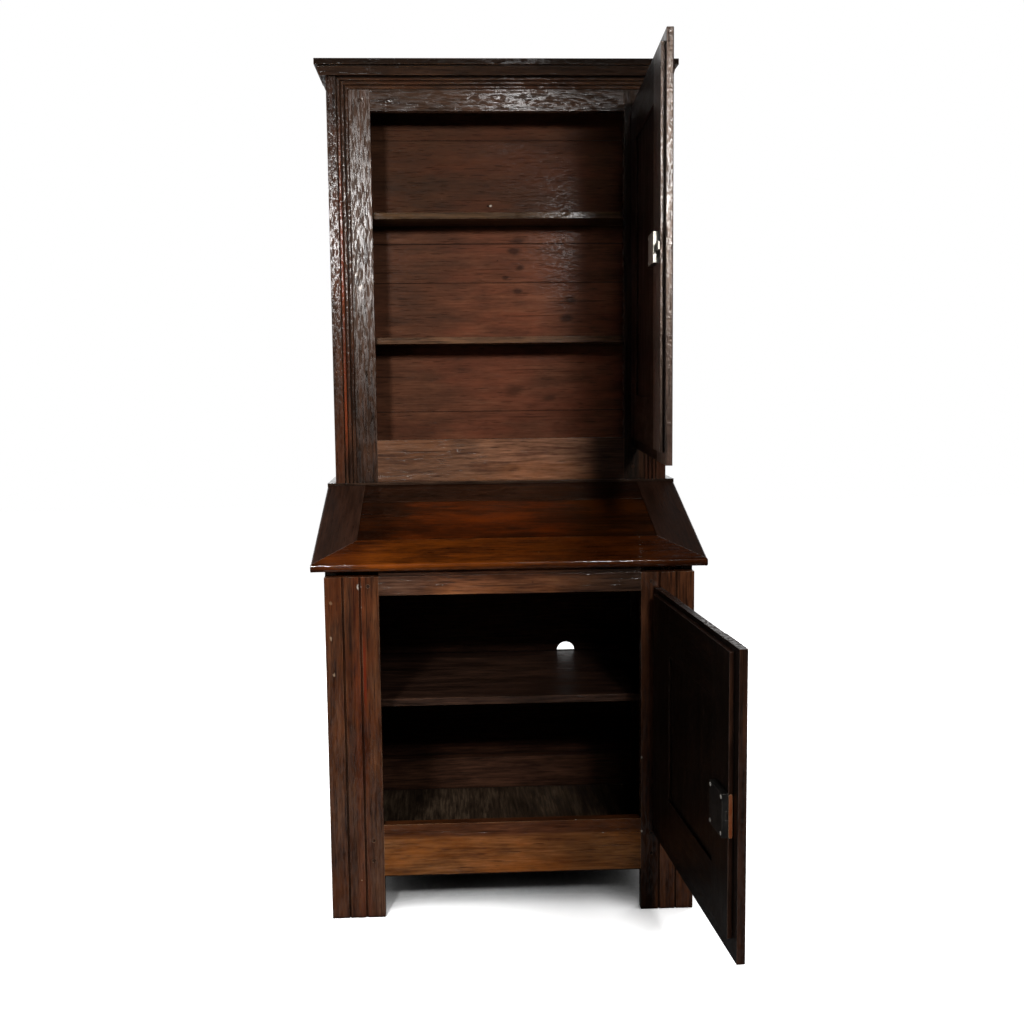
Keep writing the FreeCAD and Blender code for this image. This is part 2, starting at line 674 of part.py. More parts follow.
moulding = piece("top_reeded_moulding")
outline = [(bed, "cornice_low"), (bed, "top_reeds_low")]
outline += [(y, z) for z, y in reeds("top_reeds_low")] + [(ground, "cornice_low")]
add(moulding, "YZ", [outline], f"-{reeds_out}", reeds_out)
for side, hand in HANDS:
    mitre = [(reeds_in, "top_reeds_low"), (reeds_out, "top_reeds_low"), (reeds_out, "cornice_low")]
    cut(moulding, "XZ", [mirrored(hand, mitre)], crown, bed)
nodes.append(moulding)

# Cornice: fillet, quirk and slanting fascia; the corners are mitred.
cornice_steps = [
    ("cornice_out", "cornice_high"),
    ("cornice_out", "cornice_high - cornice_fillet"),
    ("cornice_fascia_out - cornice_quirk / 2", "cornice_high - cornice_fillet"),
    ("cornice_fascia_out - cornice_quirk / 2", "cornice_high - cornice_fillet - cornice_quirk"),
    ("cornice_fascia_out", "cornice_high - cornice_fillet - cornice_quirk"),
    ("cornice_fascia_foot", "cornice_low"),
]
cornice_front = "(upper_front - cornice_out)"
cornice_half = f"({upper_half} + cornice_out)"
profile = [("upper_front", "cornice_high")]
profile += [(f"upper_front - ({out})", z) for out, z in cornice_steps]
profile += [("upper_front", "cornice_low")]
cornice = piece("cornice_front")
add(cornice, "YZ", [profile], f"-{cornice_half}", cornice_half)
mitres = [[(f"{h} * {cornice_half}", cornice_front), (f"{h} * {upper_half}", "upper_front"),
           (f"{h} * {cornice_half}", "upper_front")] for side, h in HANDS]
cut(cornice, "XY", mitres, "cornice_low", "cornice_high")
nodes.append(cornice)
for side, hand in HANDS:
    cornice = piece(f"cornice_{side}_return")
    profile = [(upper_half, "cornice_high")]
    profile += [(f"{upper_half} + {out}", z) for out, z in cornice_steps]
    profile += [(upper_half, "cornice_low")]
    add(cornice, "XZ", [mirrored(hand, profile)], cornice_front, "depth")
    mitre = [(upper_half, cornice_front), (cornice_half, cornice_front), (upper_half, "upper_front")]
    cut(cornice, "XY", [mirrored(hand, mitre)], "cornice_low", "cornice_high")
    nodes.append(cornice)

for side, hand in HANDS:
    board = piece(f"upper_{side}_side")
    add(board, "YZ", [box(upper_back, "flat_top", wall_y, "upper_high")],
        *span(hand, f"{upper_half} - upper_side_thick", upper_half))
    nodes.append(board)
board = piece("upper_top_board")
add(board, "XY", [box(f"-{upper_half}", "upper_front", upper_half, "depth")], "upper_high",
    "upper_high + upper_top_thick")
nodes.append(board)

shelf_x = f"({upper_half} - upper_side_thick)"
for name, top, front in (("upper_floor_board", "upper_floor_high", upper_back),
                         ("upper_shelf_lower", "upper_shelf_one", "(upper_front + upper_shelf_back)"),
                         ("upper_shelf_higher", "upper_shelf_two", "(upper_front + upper_shelf_back)")):
    board = piece(name)
    add(board, "XY", [box(f"-{shelf_x}", front, shelf_x, wall_y)], f"{top} - upper_shelf_thick", top)
    nodes.append(board)
cleats = []
for side, hand in HANDS:
    for top in ("upper_floor_high", "upper_shelf_one", "upper_shelf_two"):
        cleats.append(block(f"{side}_cleat_{top}", *span(hand, f"{shelf_x} - cleat", shelf_x), upper_back, wall_y,
                            f"{top} - upper_shelf_thick - cleat", f"{top} - upper_shelf_thick"))
nodes.append(together("upper_shelf_cleats", cleats))
levels = ["flat_top", "back_joint_one", "back_joint_two", "back_joint_three", "back_joint_four", "upper_high"]
boards = []
for i in range(len(levels) - 1):
    lift = "back_gap" if i else "0"
    boards.append(block(f"upper_back_board_{i + 1}", f"-{upper_half}", upper_half, wall_y, "depth",
                        f"{levels[i]} + {lift}", levels[i + 1]))
nodes.append(together("upper_back_boards", boards))

# Pegs draw the case's tenons home.
peg_spots = [(f"{hand} * {peg_x}", "0", z) for side, hand in HANDS for z in bottom_pegs + [top_peg]]
peg_spots += [(f"{hand} * {upper_peg_x}", "upper_front", z) for side, hand in HANDS
              for z in upper_low_pegs + [upper_top_peg]]
pegs = []
for i, (x, y, z) in enumerate(peg_spots, 1):
    peg = rod(f"case_peg_{i}", x, y, z, "peg_radius", "peg_long")
    peg.Placement.Rotation = FreeCAD.Rotation(FreeCAD.Vector(1, 0, 0), -90)
    pegs.append(peg)
nodes.append(together("case_pegs", pegs))

# The two doors.
# In a door's frame X = 0, Y = 0 is the hinge axis and the door lies along -X with its front towards -Y.
upper = {
    "name": "upper", "open_half": upper_in, "face": "upper_front",
    "low": "upper_open_low", "high": "upper_open_high",
}
lower = {
    "name": "lower", "open_half": stile_in, "face": "0",
    "low": "opening_low", "high": "opening_high",
}
pins, frame_leaves = [], []
for door in (upper, lower):
    key = door["name"]
    lap, lip, inner = f"{key}_lap", f"{key}_lip", f"{key}_inner"
    door["pivot_x"] = f"({door['open_half']} + {lap} + pin_set)"
    door["pivot_y"] = f"({door['face']} - pin_set)"
    door["angle"] = f"{key}_angle"
    width = f"(2 * ({door['open_half']} + {lap}))"
    low = f"({door['low']} - {key}_lap_low)"
    high = f"({door['high']} + {key}_lap_top)"
    lip_back = "(pin_set - seat_gap)"
    lip_front = f"({lip_back} - {lip})"
    inner_back = f"({lip_back} + {inner})"
    rebate = f"({lap} + fit_gap)"
    hinge_edge = "(-pin_set)"
    free_edge = f"(-pin_set - {width})"
    stile_edge = f"(-pin_set - {key}_door_stile)"
    free_in = f"({free_edge} + {key}_door_free)"
    inner_low = f"({door['low']} + fit_gap)"
    inner_high = f"({door['high']} - fit_gap)"
    foot_top = f"({low} + {key}_door_foot)"
    head_low = f"({high} - {key}_door_top)"
    groove_y0 = f"({lip_back} - panel_tongue / 2)"
    groove_y1 = f"({lip_back} + panel_tongue / 2)"
    tenon_low = f"({inner_low} + tenon_shoulder)"
    tenon_high = f"({inner_high} - tenon_shoulder)"
    foot_tenon = (tenon_low, f"({foot_top} - panel_groove)")
    head_tenon = (f"({head_low} + panel_groove)", tenon_high)
    hinge_z = [f"({low} + hinge_from_end)", f"({high} - hinge_from_end - hinge_tall)"]
    lock_edge = f"({free_edge} + {rebate})"
    bolt_y0 = f"({inner_back} + bolt_gap)"
    bolt_y1 = f"({bolt_y0} + bolt_thick)"
    bolt_z0 = f"({key}_lock_mid - bolt_tall / 2)"
    bolt_z1 = f"({key}_lock_mid + bolt_tall / 2)"
    lock_x0 = f"({lock_edge} + {key}_lock_set)"
    lock_x1 = f"({lock_x0} + {key}_lock_wide)"
    front_depth = number(lip_front)

    for name, outer, edge, hand in ((f"{key}_door_hinge_stile", hinge_edge, stile_edge, -1),
                                    (f"{key}_door_free_stile", free_edge, free_in, 1)):
        stile = piece(name, door)
        outline = [
            (outer, lip_front),
            (outer, lip_back),
            (f"{outer} + {hand} * {rebate}", lip_back),
            (f"{outer} + {hand} * {rebate}", inner_back),
            (edge, inner_back),
            (edge, lip_front),
        ]
        add(stile, "XY", [outline], low, high)
        outside = number(outer)
        ease(stile, "Chamfer", "door_ease",
             lambda p, t: abs(t.z) > 0.99 and abs(p.y - front_depth) < 0.01 and abs(p.x - outside) < 0.01)
        trims = [box(lip_back, low, inner_back, inner_low), box(lip_back, inner_high, inner_back, high)]
        cut(stile, "YZ", trims, *((edge, outer) if hand < 0 else (outer, edge)))
        groove_x = span(1, edge, f"{edge} + panel_groove") if hand < 0 else (f"{edge} - panel_groove", edge)
        cut(stile, "YZ", [box(groove_y0, tenon_low, groove_y1, tenon_high)], *groove_x)
        deep = f"(tenon_long + panel_play)"
        mortice_x = (edge, f"{edge} + {deep}") if hand < 0 else (f"{edge} - {deep}", edge)
        mortices = [box(groove_y0, z0, groove_y1, z1) for z0, z1 in (foot_tenon, head_tenon)]
        cut(stile, "YZ", mortices, *mortice_x)
        if hand < 0:
            leaf = [box(f"{hinge_edge} - leaf_wide", z, hinge_edge, f"{z} + hinge_tall") for z in hinge_z]
            cut(stile, "XZ", leaf, f"{lip_back} - leaf_thick", lip_back)
        nodes.append(stile)

    for name, outer_z, trim, groove, tenon in (
            (f"{key}_door_bottom_rail", (low, foot_top), (low, inner_low),
             (f"{foot_top} - panel_groove", foot_top), foot_tenon),
            (f"{key}_door_top_rail", (head_low, high), (inner_high, high),
             (head_low, f"{head_low} + panel_groove"), head_tenon)):
        rail = piece(name, door)
        add(rail, "YZ", [box(lip_front, outer_z[0], inner_back, outer_z[1])], free_in, stile_edge)
        outside = number(outer_z[0] if "bottom" in name else outer_z[1])
        ease(rail, "Chamfer", "door_ease",
             lambda p, t: abs(t.x) > 0.99 and abs(p.y - front_depth) < 0.01 and abs(p.z - outside) < 0.01)
        cut(rail, "YZ", [box(lip_back, trim[0], inner_back, trim[1])], free_in, stile_edge)
        cut(rail, "YZ", [box(groove_y0, groove[0], groove_y1, groove[1])], free_in, stile_edge)
        add(rail, "XZ", [box(f"{free_in} - tenon_long", tenon[0], f"{stile_edge} + tenon_long", tenon[1])],
            groove_y0, groove_y1)
        nodes.append(rail)

    # The panel has a raised field on its outer face and thin edges in the grooves.
    tongue = "(panel_groove - panel_play)"
    panel = piece(f"{key}_door_panel", door)
    add(panel, "XZ", [box(f"{free_in} - {tongue}", f"{foot_top} - {tongue}",
                          f"{stile_edge} + {tongue}", f"{head_low} + {tongue}")], groove_y0, groove_y1)
    field = [f"{free_in} + field_margin", f"{foot_top} + field_margin",
             f"{stile_edge} - field_margin", f"{head_low} - field_margin"]
    add(panel, "XZ", [box(*field)], f"{lip_front} + field_sunk", groove_y0)
    shallow = number(f"{lip_front} + field_sunk")
    ease(panel, "Chamfer", "field_sunk",
         lambda p, t: abs(p.y - shallow) < 0.01 and abs(t.y) < 0.01)
    nodes.append(panel)

    # Butt hinges: one leaf let into the lip's back, one into the stile of the case, a pin through both.
    door_leaves = []
    end_knuckle = "(hinge_tall * knuckle_share)"
    for i, z in enumerate(hinge_z, 1):
        tag = f"{key}_{i}"
        leaf = block(f"door_leaf_{tag}", f"{hinge_edge} - leaf_wide", hinge_edge,
                     f"{lip_back} - leaf_thick", lip_back, z, f"{z} + hinge_tall")
        mid0 = f"({z} + {end_knuckle} + knuckle_gap)"
        mid1 = f"({z} + hinge_tall - {end_knuckle} - knuckle_gap)"
        web = block(f"door_web_{tag}", f"{hinge_edge} - leaf_thick", "0",
                    f"{lip_back} - leaf_thick", lip_back, mid0, mid1)
        barrel = rod(f"door_barrel_{tag}", "0", "0", mid0, "knuckle_radius", f"{mid1} - {mid0}")
        bore = rod(f"door_bore_{tag}", "0", "0", z, "pin_radius + pin_play", "hinge_tall")
        door_leaves.append(less(f"door_hinge_{tag}", joined(f"door_plate_{tag}", [leaf, web, barrel]), bore))

        px, py = door["pivot_x"], door["pivot_y"]
        face = door["face"]
        leaf = block(f"case_leaf_{tag}", px, f"{px} + leaf_wide", face, f"{face} + leaf_thick", z, f"{z} + hinge_tall")
        parts = [leaf]
        for end, base in (("foot", z), ("head", f"({z} + hinge_tall - {end_knuckle})")):
            parts.append(block(f"case_web_{end}_{tag}", px, f"{px} + leaf_thick", py, f"{face} + leaf_thick",
                               base, f"{base} + {end_knuckle}"))
            parts.append(rod(f"case_barrel_{end}_{tag}", px, py, base, "knuckle_radius", end_knuckle))
        bore = rod(f"case_bore_{tag}", px, py, z, "pin_radius + pin_play", "hinge_tall")
        frame_leaves.append(less(f"case_hinge_{tag}", joined(f"case_plate_{tag}", parts), bore))
        pins.append(rod(f"pin_{tag}", px, py, f"{z} - pin_stand", "pin_radius", "hinge_tall + 2 * pin_stand"))
    leaves = together(f"{key}_hinge_door_leaves", door_leaves)
    hang(leaves, door)
    nodes.append(leaves)

    # Rim lock on the inner face: the case is open to the door so that the bolt slides along the wood.
    case = block(f"{key}_lock_box", lock_x0, lock_x1, inner_back, f"{inner_back} + lock_deep",
                 f"{key}_lock_mid - {key}_lock_tall / 2", f"{key}_lock_mid + {key}_lock_tall / 2")
    bolt_tail = f"({lock_x1} - lock_deep - bolt_throw)"
    way = block(f"{key}_bolt_way", lock_x0, f"{lock_x1} - lock_deep", inner_back, f"{bolt_y1} + bolt_gap",
                f"{bolt_z0} - bolt_gap", f"{bolt_z1} + bolt_gap")
    lock = less(f"{key}_lock_case", case, way)
    lock.Label = f"{key}_lock_case"
    hang(lock, door)
    nodes.append(lock)
    bolt = piece(f"{key}_lock_bolt", door)
    add(bolt, "XZ", [box(f"{lock_edge} + bolt_hide", bolt_z0, bolt_tail, bolt_z1)], bolt_y0, bolt_y1)
    tip = number(f"{lock_edge} + bolt_hide")
    ease(bolt, "Chamfer", "bolt_hide",
         lambda p, t: abs(p.x - tip) < 0.01 and abs(t.z) > 0.99)
    nodes.append(bolt)
    door["keep_y0"] = f"({door['pivot_y']} + {bolt_y0} - keep_play)"
    door["keep_y1"] = f"({door['pivot_y']} + {bolt_y1} + keep_play)"
    door["keep_z0"] = f"{bolt_z0} - keep_play"
    door["keep_z1"] = f"{bolt_z1} + keep_play"
    door["hinge_z"] = hinge_z
nodes.append(together("hinge_frame_leaves", frame_leaves))
nodes.append(together("hinge_pins", pins))

# The case's stiles take the frame leaves on the right and the thrown bolts on the left.
for door, right, left in ((upper, "upper_right_front_stile", "upper_left_front_stile"),
                          (lower, "lower_right_front_stile", "lower_left_front_stile")):
    px, face = door["pivot_x"], door["face"]
    leaf = [box(px, z, f"{px} + leaf_wide", f"{z} + hinge_tall") for z in door["hinge_z"]]
    cut(doc.getObject(right), "XZ", leaf, face, f"{face} + leaf_thick")
    keep = box(door["keep_y0"], door["keep_z0"], door["keep_y1"], door["keep_z1"])
    edge = door["open_half"]
    cut(doc.getObject(left), "YZ", [keep], f"-{edge} - bolt_throw", f"-{edge}")

doc.recompute()
for thing in doc.Objects:
    if "Invalid" in thing.State or "Error" in thing.State:
        raise ValueError(f"{thing.Label}: {thing.State}")
for node in nodes:
    if node.Shape.isNull() or not node.Shape.isValid():
        raise ValueError(f"{node.Label} has no valid shape")

os.makedirs("parts", exist_ok=True)
for node in nodes:
    node.Shape.exportStep(f"parts/{node.Label}.step")
print(len(nodes), "nodes")
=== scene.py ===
import math

import bmesh
import bpy
from mathutils import Matrix, Vector


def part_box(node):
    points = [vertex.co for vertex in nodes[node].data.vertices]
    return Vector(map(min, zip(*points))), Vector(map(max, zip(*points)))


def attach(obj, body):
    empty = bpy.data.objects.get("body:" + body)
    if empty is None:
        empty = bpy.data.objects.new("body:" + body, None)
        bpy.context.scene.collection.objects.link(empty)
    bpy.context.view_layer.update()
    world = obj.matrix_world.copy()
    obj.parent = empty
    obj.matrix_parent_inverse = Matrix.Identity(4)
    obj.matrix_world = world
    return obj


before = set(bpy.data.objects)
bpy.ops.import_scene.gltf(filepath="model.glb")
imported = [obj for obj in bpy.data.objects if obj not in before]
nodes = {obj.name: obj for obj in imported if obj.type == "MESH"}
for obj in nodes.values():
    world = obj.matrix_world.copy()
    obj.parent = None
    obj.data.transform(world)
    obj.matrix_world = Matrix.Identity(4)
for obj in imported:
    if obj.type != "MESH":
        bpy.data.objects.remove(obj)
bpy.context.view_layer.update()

# The studio: a pale floor that the cupboard stands on, a white surround, and a lamp at head height on either side
# of the camera, small enough to cut the sharp shadows that fill the two cupboards, with a faint one above them.
# Two wide low lamps behind the cupboard light its sides and back, and reach nothing that is seen from the front.
UP = Vector((0, 0, 1))
EYE = Vector((-0.1246, -2.7114, 1.2172))
YAW, PITCH, ROLL = math.radians(2.738), math.radians(6.276), math.radians(-0.6)
LENS_MM, SENSOR_MM = 43.69, 36
CUPBOARD_MIDDLE = Vector((0, 0.3, 1.0))
BARN_DOOR_EDGE = Vector((0.34, 0.6, 0))


def linear(text):
    parts = [int(text[i:i + 2], 16) / 255 for i in (1, 3, 5)]
    return tuple(p / 12.92 if p <= 0.04045 else ((p + 0.055) / 1.055) ** 2.4 for p in parts) + (1.0,)


def add(tree, kind, links=None, **settings):
    """A node with its settings; an input takes a value, another node's output, or a node for its first output."""
    node = tree.nodes.new(kind)
    for key, value in settings.items():
        setattr(node, key, value)
    for socket, value in (links or {}).items():
        if isinstance(value, bpy.types.Node):
            value = value.outputs[0]
        if isinstance(value, bpy.types.NodeSocket):
            tree.links.new(value, node.inputs[socket])
        else:
            node.inputs[socket].default_value = value
    return node


def empty_tree(name):
    material = bpy.data.materials.new(name)
    material.use_nodes = True
    material.node_tree.nodes.clear()
    return material, material.node_tree


ahead = Vector((math.sin(YAW) * math.cos(PITCH), math.cos(YAW) * math.cos(PITCH), -math.sin(PITCH)))
level = Vector((math.cos(YAW), -math.sin(YAW), 0))
over = level.cross(ahead)
right = math.cos(ROLL) * level + math.sin(ROLL) * over
top = -math.sin(ROLL) * level + math.cos(ROLL) * over
camera = bpy.data.objects.new("camera", bpy.data.cameras.new("camera"))
camera.data.sensor_fit = "HORIZONTAL"
camera.data.sensor_width = SENSOR_MM
camera.data.lens = LENS_MM
camera.matrix_world = Matrix((right, top, -ahead)).transposed().to_4x4()
camera.location = EYE
bpy.context.scene.collection.objects.link(camera)
bpy.context.scene.camera = camera
bpy.context.scene.view_settings.view_transform = "Standard"

for lamp_name, kind, place, size, watts in (
    ("lamp_left", "SPOT", (-0.8, -2.6, 1.92), 0.28, 208),
    ("lamp_right", "AREA", (0.60, -2.6, 1.92), 0.3, 33),
    ("lamp_high", "AREA", (0.21, -2.6, 2.56), 0.14, 4),
    ("lamp_rear_left", "AREA", (-2.3, 2.2, 0.9), 0.9, 42),
    ("lamp_rear_right", "AREA", (2.3, 2.2, 0.9), 0.9, 42),
):
    lamp = bpy.data.objects.new(lamp_name, bpy.data.lights.new(lamp_name, kind))
    lamp.data.energy = watts
    lamp.location = place
    aim = CUPBOARD_MIDDLE - lamp.location
    if kind == "SPOT":
        # shaded on its right by a barn door, whose soft edge falls on the doors' side of the cupboard
        lamp.data.shadow_soft_size = size / 2
        lamp.data.spot_size = math.pi
        lamp.data.spot_blend = 0.085
        edge = BARN_DOOR_EDGE - lamp.location
        aim = Vector((-edge.y, edge.x, 0))
    else:
        lamp.data.shape = "DISK"
        lamp.data.size = size
    lamp.rotation_euler = aim.to_track_quat("-Z", "Y").to_euler()
    bpy.context.scene.collection.objects.link(lamp)

# The surround is white to the eye and in gloss towards the back, and dim on the camera's side and for matt light.
world = bpy.data.worlds.new("white_surround")
world.use_nodes = True
bpy.context.scene.world = world
sky = world.node_tree
sky.nodes.clear()
ray = add(sky, "ShaderNodeLightPath")
toward = add(sky, "ShaderNodeSeparateXYZ", {0: add(sky, "ShaderNodeTexCoord").outputs["Generated"]})
behind = add(sky, "ShaderNodeMapRange", {"Value": toward.outputs["Y"], "From Min": 0.1, "From Max": 0.7})
height = add(sky, "ShaderNodeMapRange", {"Value": toward.outputs["Z"], "From Min": 0.62, "From Max": 0.12})
paper = add(sky, "ShaderNodeMath", {0: behind, 1: height}, operation="MULTIPLY")
shine = add(sky, "ShaderNodeMath", {0: ray.outputs["Is Glossy Ray"], 1: paper}, operation="MULTIPLY")
seen = add(sky, "ShaderNodeMath", {0: ray.outputs["Is Camera Ray"], 1: ray.outputs["Is Transmission Ray"]},
           operation="MAXIMUM")
both = add(sky, "ShaderNodeMath", {0: seen, 1: shine}, operation="MAXIMUM")
DIM = 0.014
strength = add(sky, "ShaderNodeMath", {0: both, 1: DIM}, operation="MAXIMUM")
surround = add(sky, "ShaderNodeBackground", {"Color": (1, 1, 1, 1), "Strength": strength})
add(sky, "ShaderNodeOutputWorld", {"Surface": surround})

# Painted floor: white to the camera where nothing stands near, with a painted shadow where the cupboard closes it in.
floor_paint, tree = empty_tree("white_painted_floor")
ray = add(tree, "ShaderNodeLightPath")
shelter = add(tree, "ShaderNodeAmbientOcclusion", {"Distance": 0.35}, samples=24)
open_air = add(tree, "ShaderNodeMapRange", {"Value": shelter.outputs["AO"], "From Min": 0.15, "From Max": 0.9})
to_eye = add(tree, "ShaderNodeMath", {0: open_air, 1: ray.outputs["Is Camera Ray"]}, operation="MULTIPLY")
glow = add(tree, "ShaderNodeEmission", {"Color": (1, 1, 1, 1), "Strength": to_eye})
speck = add(tree, "ShaderNodeTexNoise", {"Vector": add(tree, "ShaderNodeTexCoord").outputs["Object"], "Scale": 90.0})
tone = add(tree, "ShaderNodeMapRange", {"Value": speck.outputs["Fac"], "To Min": 0.38, "To Max": 0.42})
bright = add(tree, "ShaderNodeMath", {0: ray.outputs["Is Camera Ray"], 1: 4.0, 2: 1.0}, operation="MULTIPLY_ADD")
close = add(tree, "ShaderNodeMapRange", {"Value": shelter.outputs["AO"], "From Min": 0.06, "From Max": 0.30})
paint = add(tree, "ShaderNodeMath", {0: tone, 1: bright}, operation="MULTIPLY")
paint = add(tree, "ShaderNodeMath", {0: paint, 1: close}, operation="MULTIPLY")
matt = add(tree, "ShaderNodeBsdfDiffuse", {"Color": paint})
floor_look = add(tree, "ShaderNodeAddShader", {0: glow, 1: matt})
add(tree, "ShaderNodeOutputMaterial", {"Surface": floor_look})
floor_mesh = bpy.data.meshes.new("floor")
# it reaches 9 m each way and lies 0.6 mm under the feet
FLOOR_REACH, FLOOR_UNDER = 9.0, -0.0006
floor_mesh.from_pydata([(FLOOR_REACH * x, FLOOR_REACH * y, FLOOR_UNDER)
                        for x, y in ((-1, -1), (1, -1), (1, 1), (-1, 1))], [], [(0, 1, 2, 3)])
floor_mesh.materials.append(floor_paint)
floor = bpy.data.objects.new("floor", floor_mesh)
bpy.context.scene.collection.objects.link(floor)


# Front stiles of the lower case: wide oak uprights that run down to the floor as feet, each with two scratched
# grooves. Riven oak, stained dark, varnished and rubbed for generations; they are tenoned and pegged to the rails.
def old_oak(name, run, at, colours, glow="#000000", tinted=0.0, gloss=0.5, veil=0.1, coat=0.4, coat_rough=0.14,
            crackle=0.35, streak=1.0, blotch=0.25, wear=0.5, arris=0.002, relief=1.0, grime_and_shade=0.8, checks=0.6,
            nicks=0.5, patches=(), marks=(), shaded_inside=None, seed=0.0):
    """Oak with its grain along `run`. The colours are of its dark lines, body, pale lines and worn arrises."""
    material, tree = empty_tree(name)
    dark, body, pale, worn = [linear(c) for c in colours]
    deep = tuple(c * 0.3 for c in dark[:3]) + (1.0,)
    turn = Vector(run).rotation_difference(UP)
    coordinates = add(tree, "ShaderNodeTexCoord")
    place = coordinates.outputs["Object"]
    shift = turn @ Vector(at)
    laid = add(tree, "ShaderNodeMapping", {
        "Vector": place, "Rotation": turn.to_euler(),
        "Location": (-shift.x + seed * 0.37, -shift.y + seed * 0.71, -shift.z + seed * 1.3)})
    # the fibres wander some 8 mm over half a metre
    slow = add(tree, "ShaderNodeVectorMath", {0: laid, 1: (1, 1, 0.3)}, operation="MULTIPLY")
    wander = add(tree, "ShaderNodeTexNoise", {"Vector": slow, "Scale": 5.0, "Detail": 1.0})
    fibre = add(tree, "ShaderNodeVectorMath", {0: wander.outputs["Color"], 1: (0.02, 0.02, 0.0), 2: laid},
                operation="MULTIPLY_ADD")
    drawn = add(tree, "ShaderNodeVectorMath", {0: fibre, 1: (1, 1, 0.055)}, operation="MULTIPLY")
    # bands 22 mm wide, lines 5 mm and finer, and pores drawn 2.4 mm wide, eight times their real width, to show
    bands = add(tree, "ShaderNodeTexNoise", {"Vector": drawn, "Scale": 45.0, "Detail": 2.0})
    lines = add(tree, "ShaderNodeTexNoise", {"Vector": drawn, "Scale": 190.0, "Detail": 3.0, "Roughness": 0.65})
    pores = add(tree, "ShaderNodeTexNoise", {"Vector": drawn, "Scale": 420.0, "Detail": 1.0})
    patina = add(tree, "ShaderNodeTexNoise", {"Vector": slow, "Scale": 24.0, "Detail": 6.0, "Roughness": 0.65})
    grain = add(tree, "ShaderNodeMath", {0: patina, 1: 0.2}, operation="MULTIPLY")
    for figure, share in ((bands, 0.25), (lines, 0.55)):
        grain = add(tree, "ShaderNodeMath", {0: figure, 1: share, 2: grain}, operation="MULTIPLY_ADD")
    contrast = 0.11 / streak
    grain = add(tree, "ShaderNodeMapRange", {"Value": grain, "From Min": 0.5 - contrast, "From Max": 0.5 + contrast})
    colour = add(tree, "ShaderNodeValToRGB", {"Fac": grain})
    colour.color_ramp.elements[0].color = dark
    colour.color_ramp.elements[1].color = pale
    colour.color_ramp.elements.new(0.5).color = body
    if tinted:
        warm = add(tree, "ShaderNodeTexNoise", {"Vector": slow, "Scale": 13.0, "Detail": 5.0, "Roughness": 0.7})
        warm = add(tree, "ShaderNodeMapRange", {"Value": warm, "From Min": 0.46, "From Max": 0.62, "To Max": tinted})
        colour = add(tree, "ShaderNodeMix", {0: warm, 6: colour, 7: linear(glow)}, data_type="RGBA").outputs[2]
    tone = add(tree, "ShaderNodeMapRange", {"Value": patina, "From Min": 0.3, "From Max": 0.7,
                                            "To Min": 1.0 - blotch, "To Max": 1.0 + blotch})
    colour = add(tree, "ShaderNodeVectorMath", {0: colour, "Scale": tone}, operation="SCALE")
    # stained or rubbed areas, and painted sheen and painted shade: a colour, or three factors on the colour, its
    # strength, and its ragged bounds by axis
    for hue, strong, *bounds in patches:
        axes = add(tree, "ShaderNodeSeparateXYZ", {0: place})
        cover = strong
        for axis, low, high, soft in bounds:
            along = add(tree, "ShaderNodeMath", {0: patina, 1: soft * 3.0, 2: axes.outputs[axis]},
                        operation="MULTIPLY_ADD")
            start = add(tree, "ShaderNodeMapRange", {"Value": along, "From Min": low + soft * 0.5,
                                                     "From Max": low + soft * 2.5})
            end = add(tree, "ShaderNodeMapRange", {"Value": along, "From Min": high + soft * 2.5,
                                                   "From Max": high + soft * 0.5})
            within = add(tree, "ShaderNodeMath", {0: start, 1: end}, operation="MULTIPLY")
            cover = add(tree, "ShaderNodeMath", {0: within, 1: cover}, operation="MULTIPLY")
        if isinstance(hue, str):
            patch_hue = linear(hue)
        else:
            patch_hue = add(tree, "ShaderNodeVectorMath", {0: colour, 1: hue}, operation="MULTIPLY")
        colour = add(tree, "ShaderNodeMix", {0: cover, 6: colour, 7: patch_hue}, data_type="RGBA").outputs[2]
    # drying checks: a few dark cracks along the grain, 2 mm wide and up to 300 mm long
    far_drawn = add(tree, "ShaderNodeVectorMath", {0: fibre, 1: (1, 1, 0.012)}, operation="MULTIPLY")
    check = add(tree, "ShaderNodeTexNoise", {"Vector": far_drawn, "Scale": 190.0, "Detail": 1.0})
    check = add(tree, "ShaderNodeMapRange", {"Value": check, "From Min": 0.30, "From Max": 0.26, "To Max": checks})
    pore = add(tree, "ShaderNodeMapRange", {"Value": pores, "From Min": 0.38, "From Max": 0.28, "To Max": 0.6})
    sunk = add(tree, "ShaderNodeMath", {0: pore, 1: check}, operation="MAXIMUM")
    colour = add(tree, "ShaderNodeMix", {0: sunk, 6: colour, 7: deep}, data_type="RGBA").outputs[2]
    # the varnish is worn and crazed, so the lamps glint only where some is left
    crazed = add(tree, "ShaderNodeVectorMath", {0: laid, 1: (1, 1, crackle)}, operation="MULTIPLY")
    film = add(tree, "ShaderNodeTexNoise", {"Vector": crazed, "Scale": 180.0, "Detail": 2.0, "Roughness": 0.6})
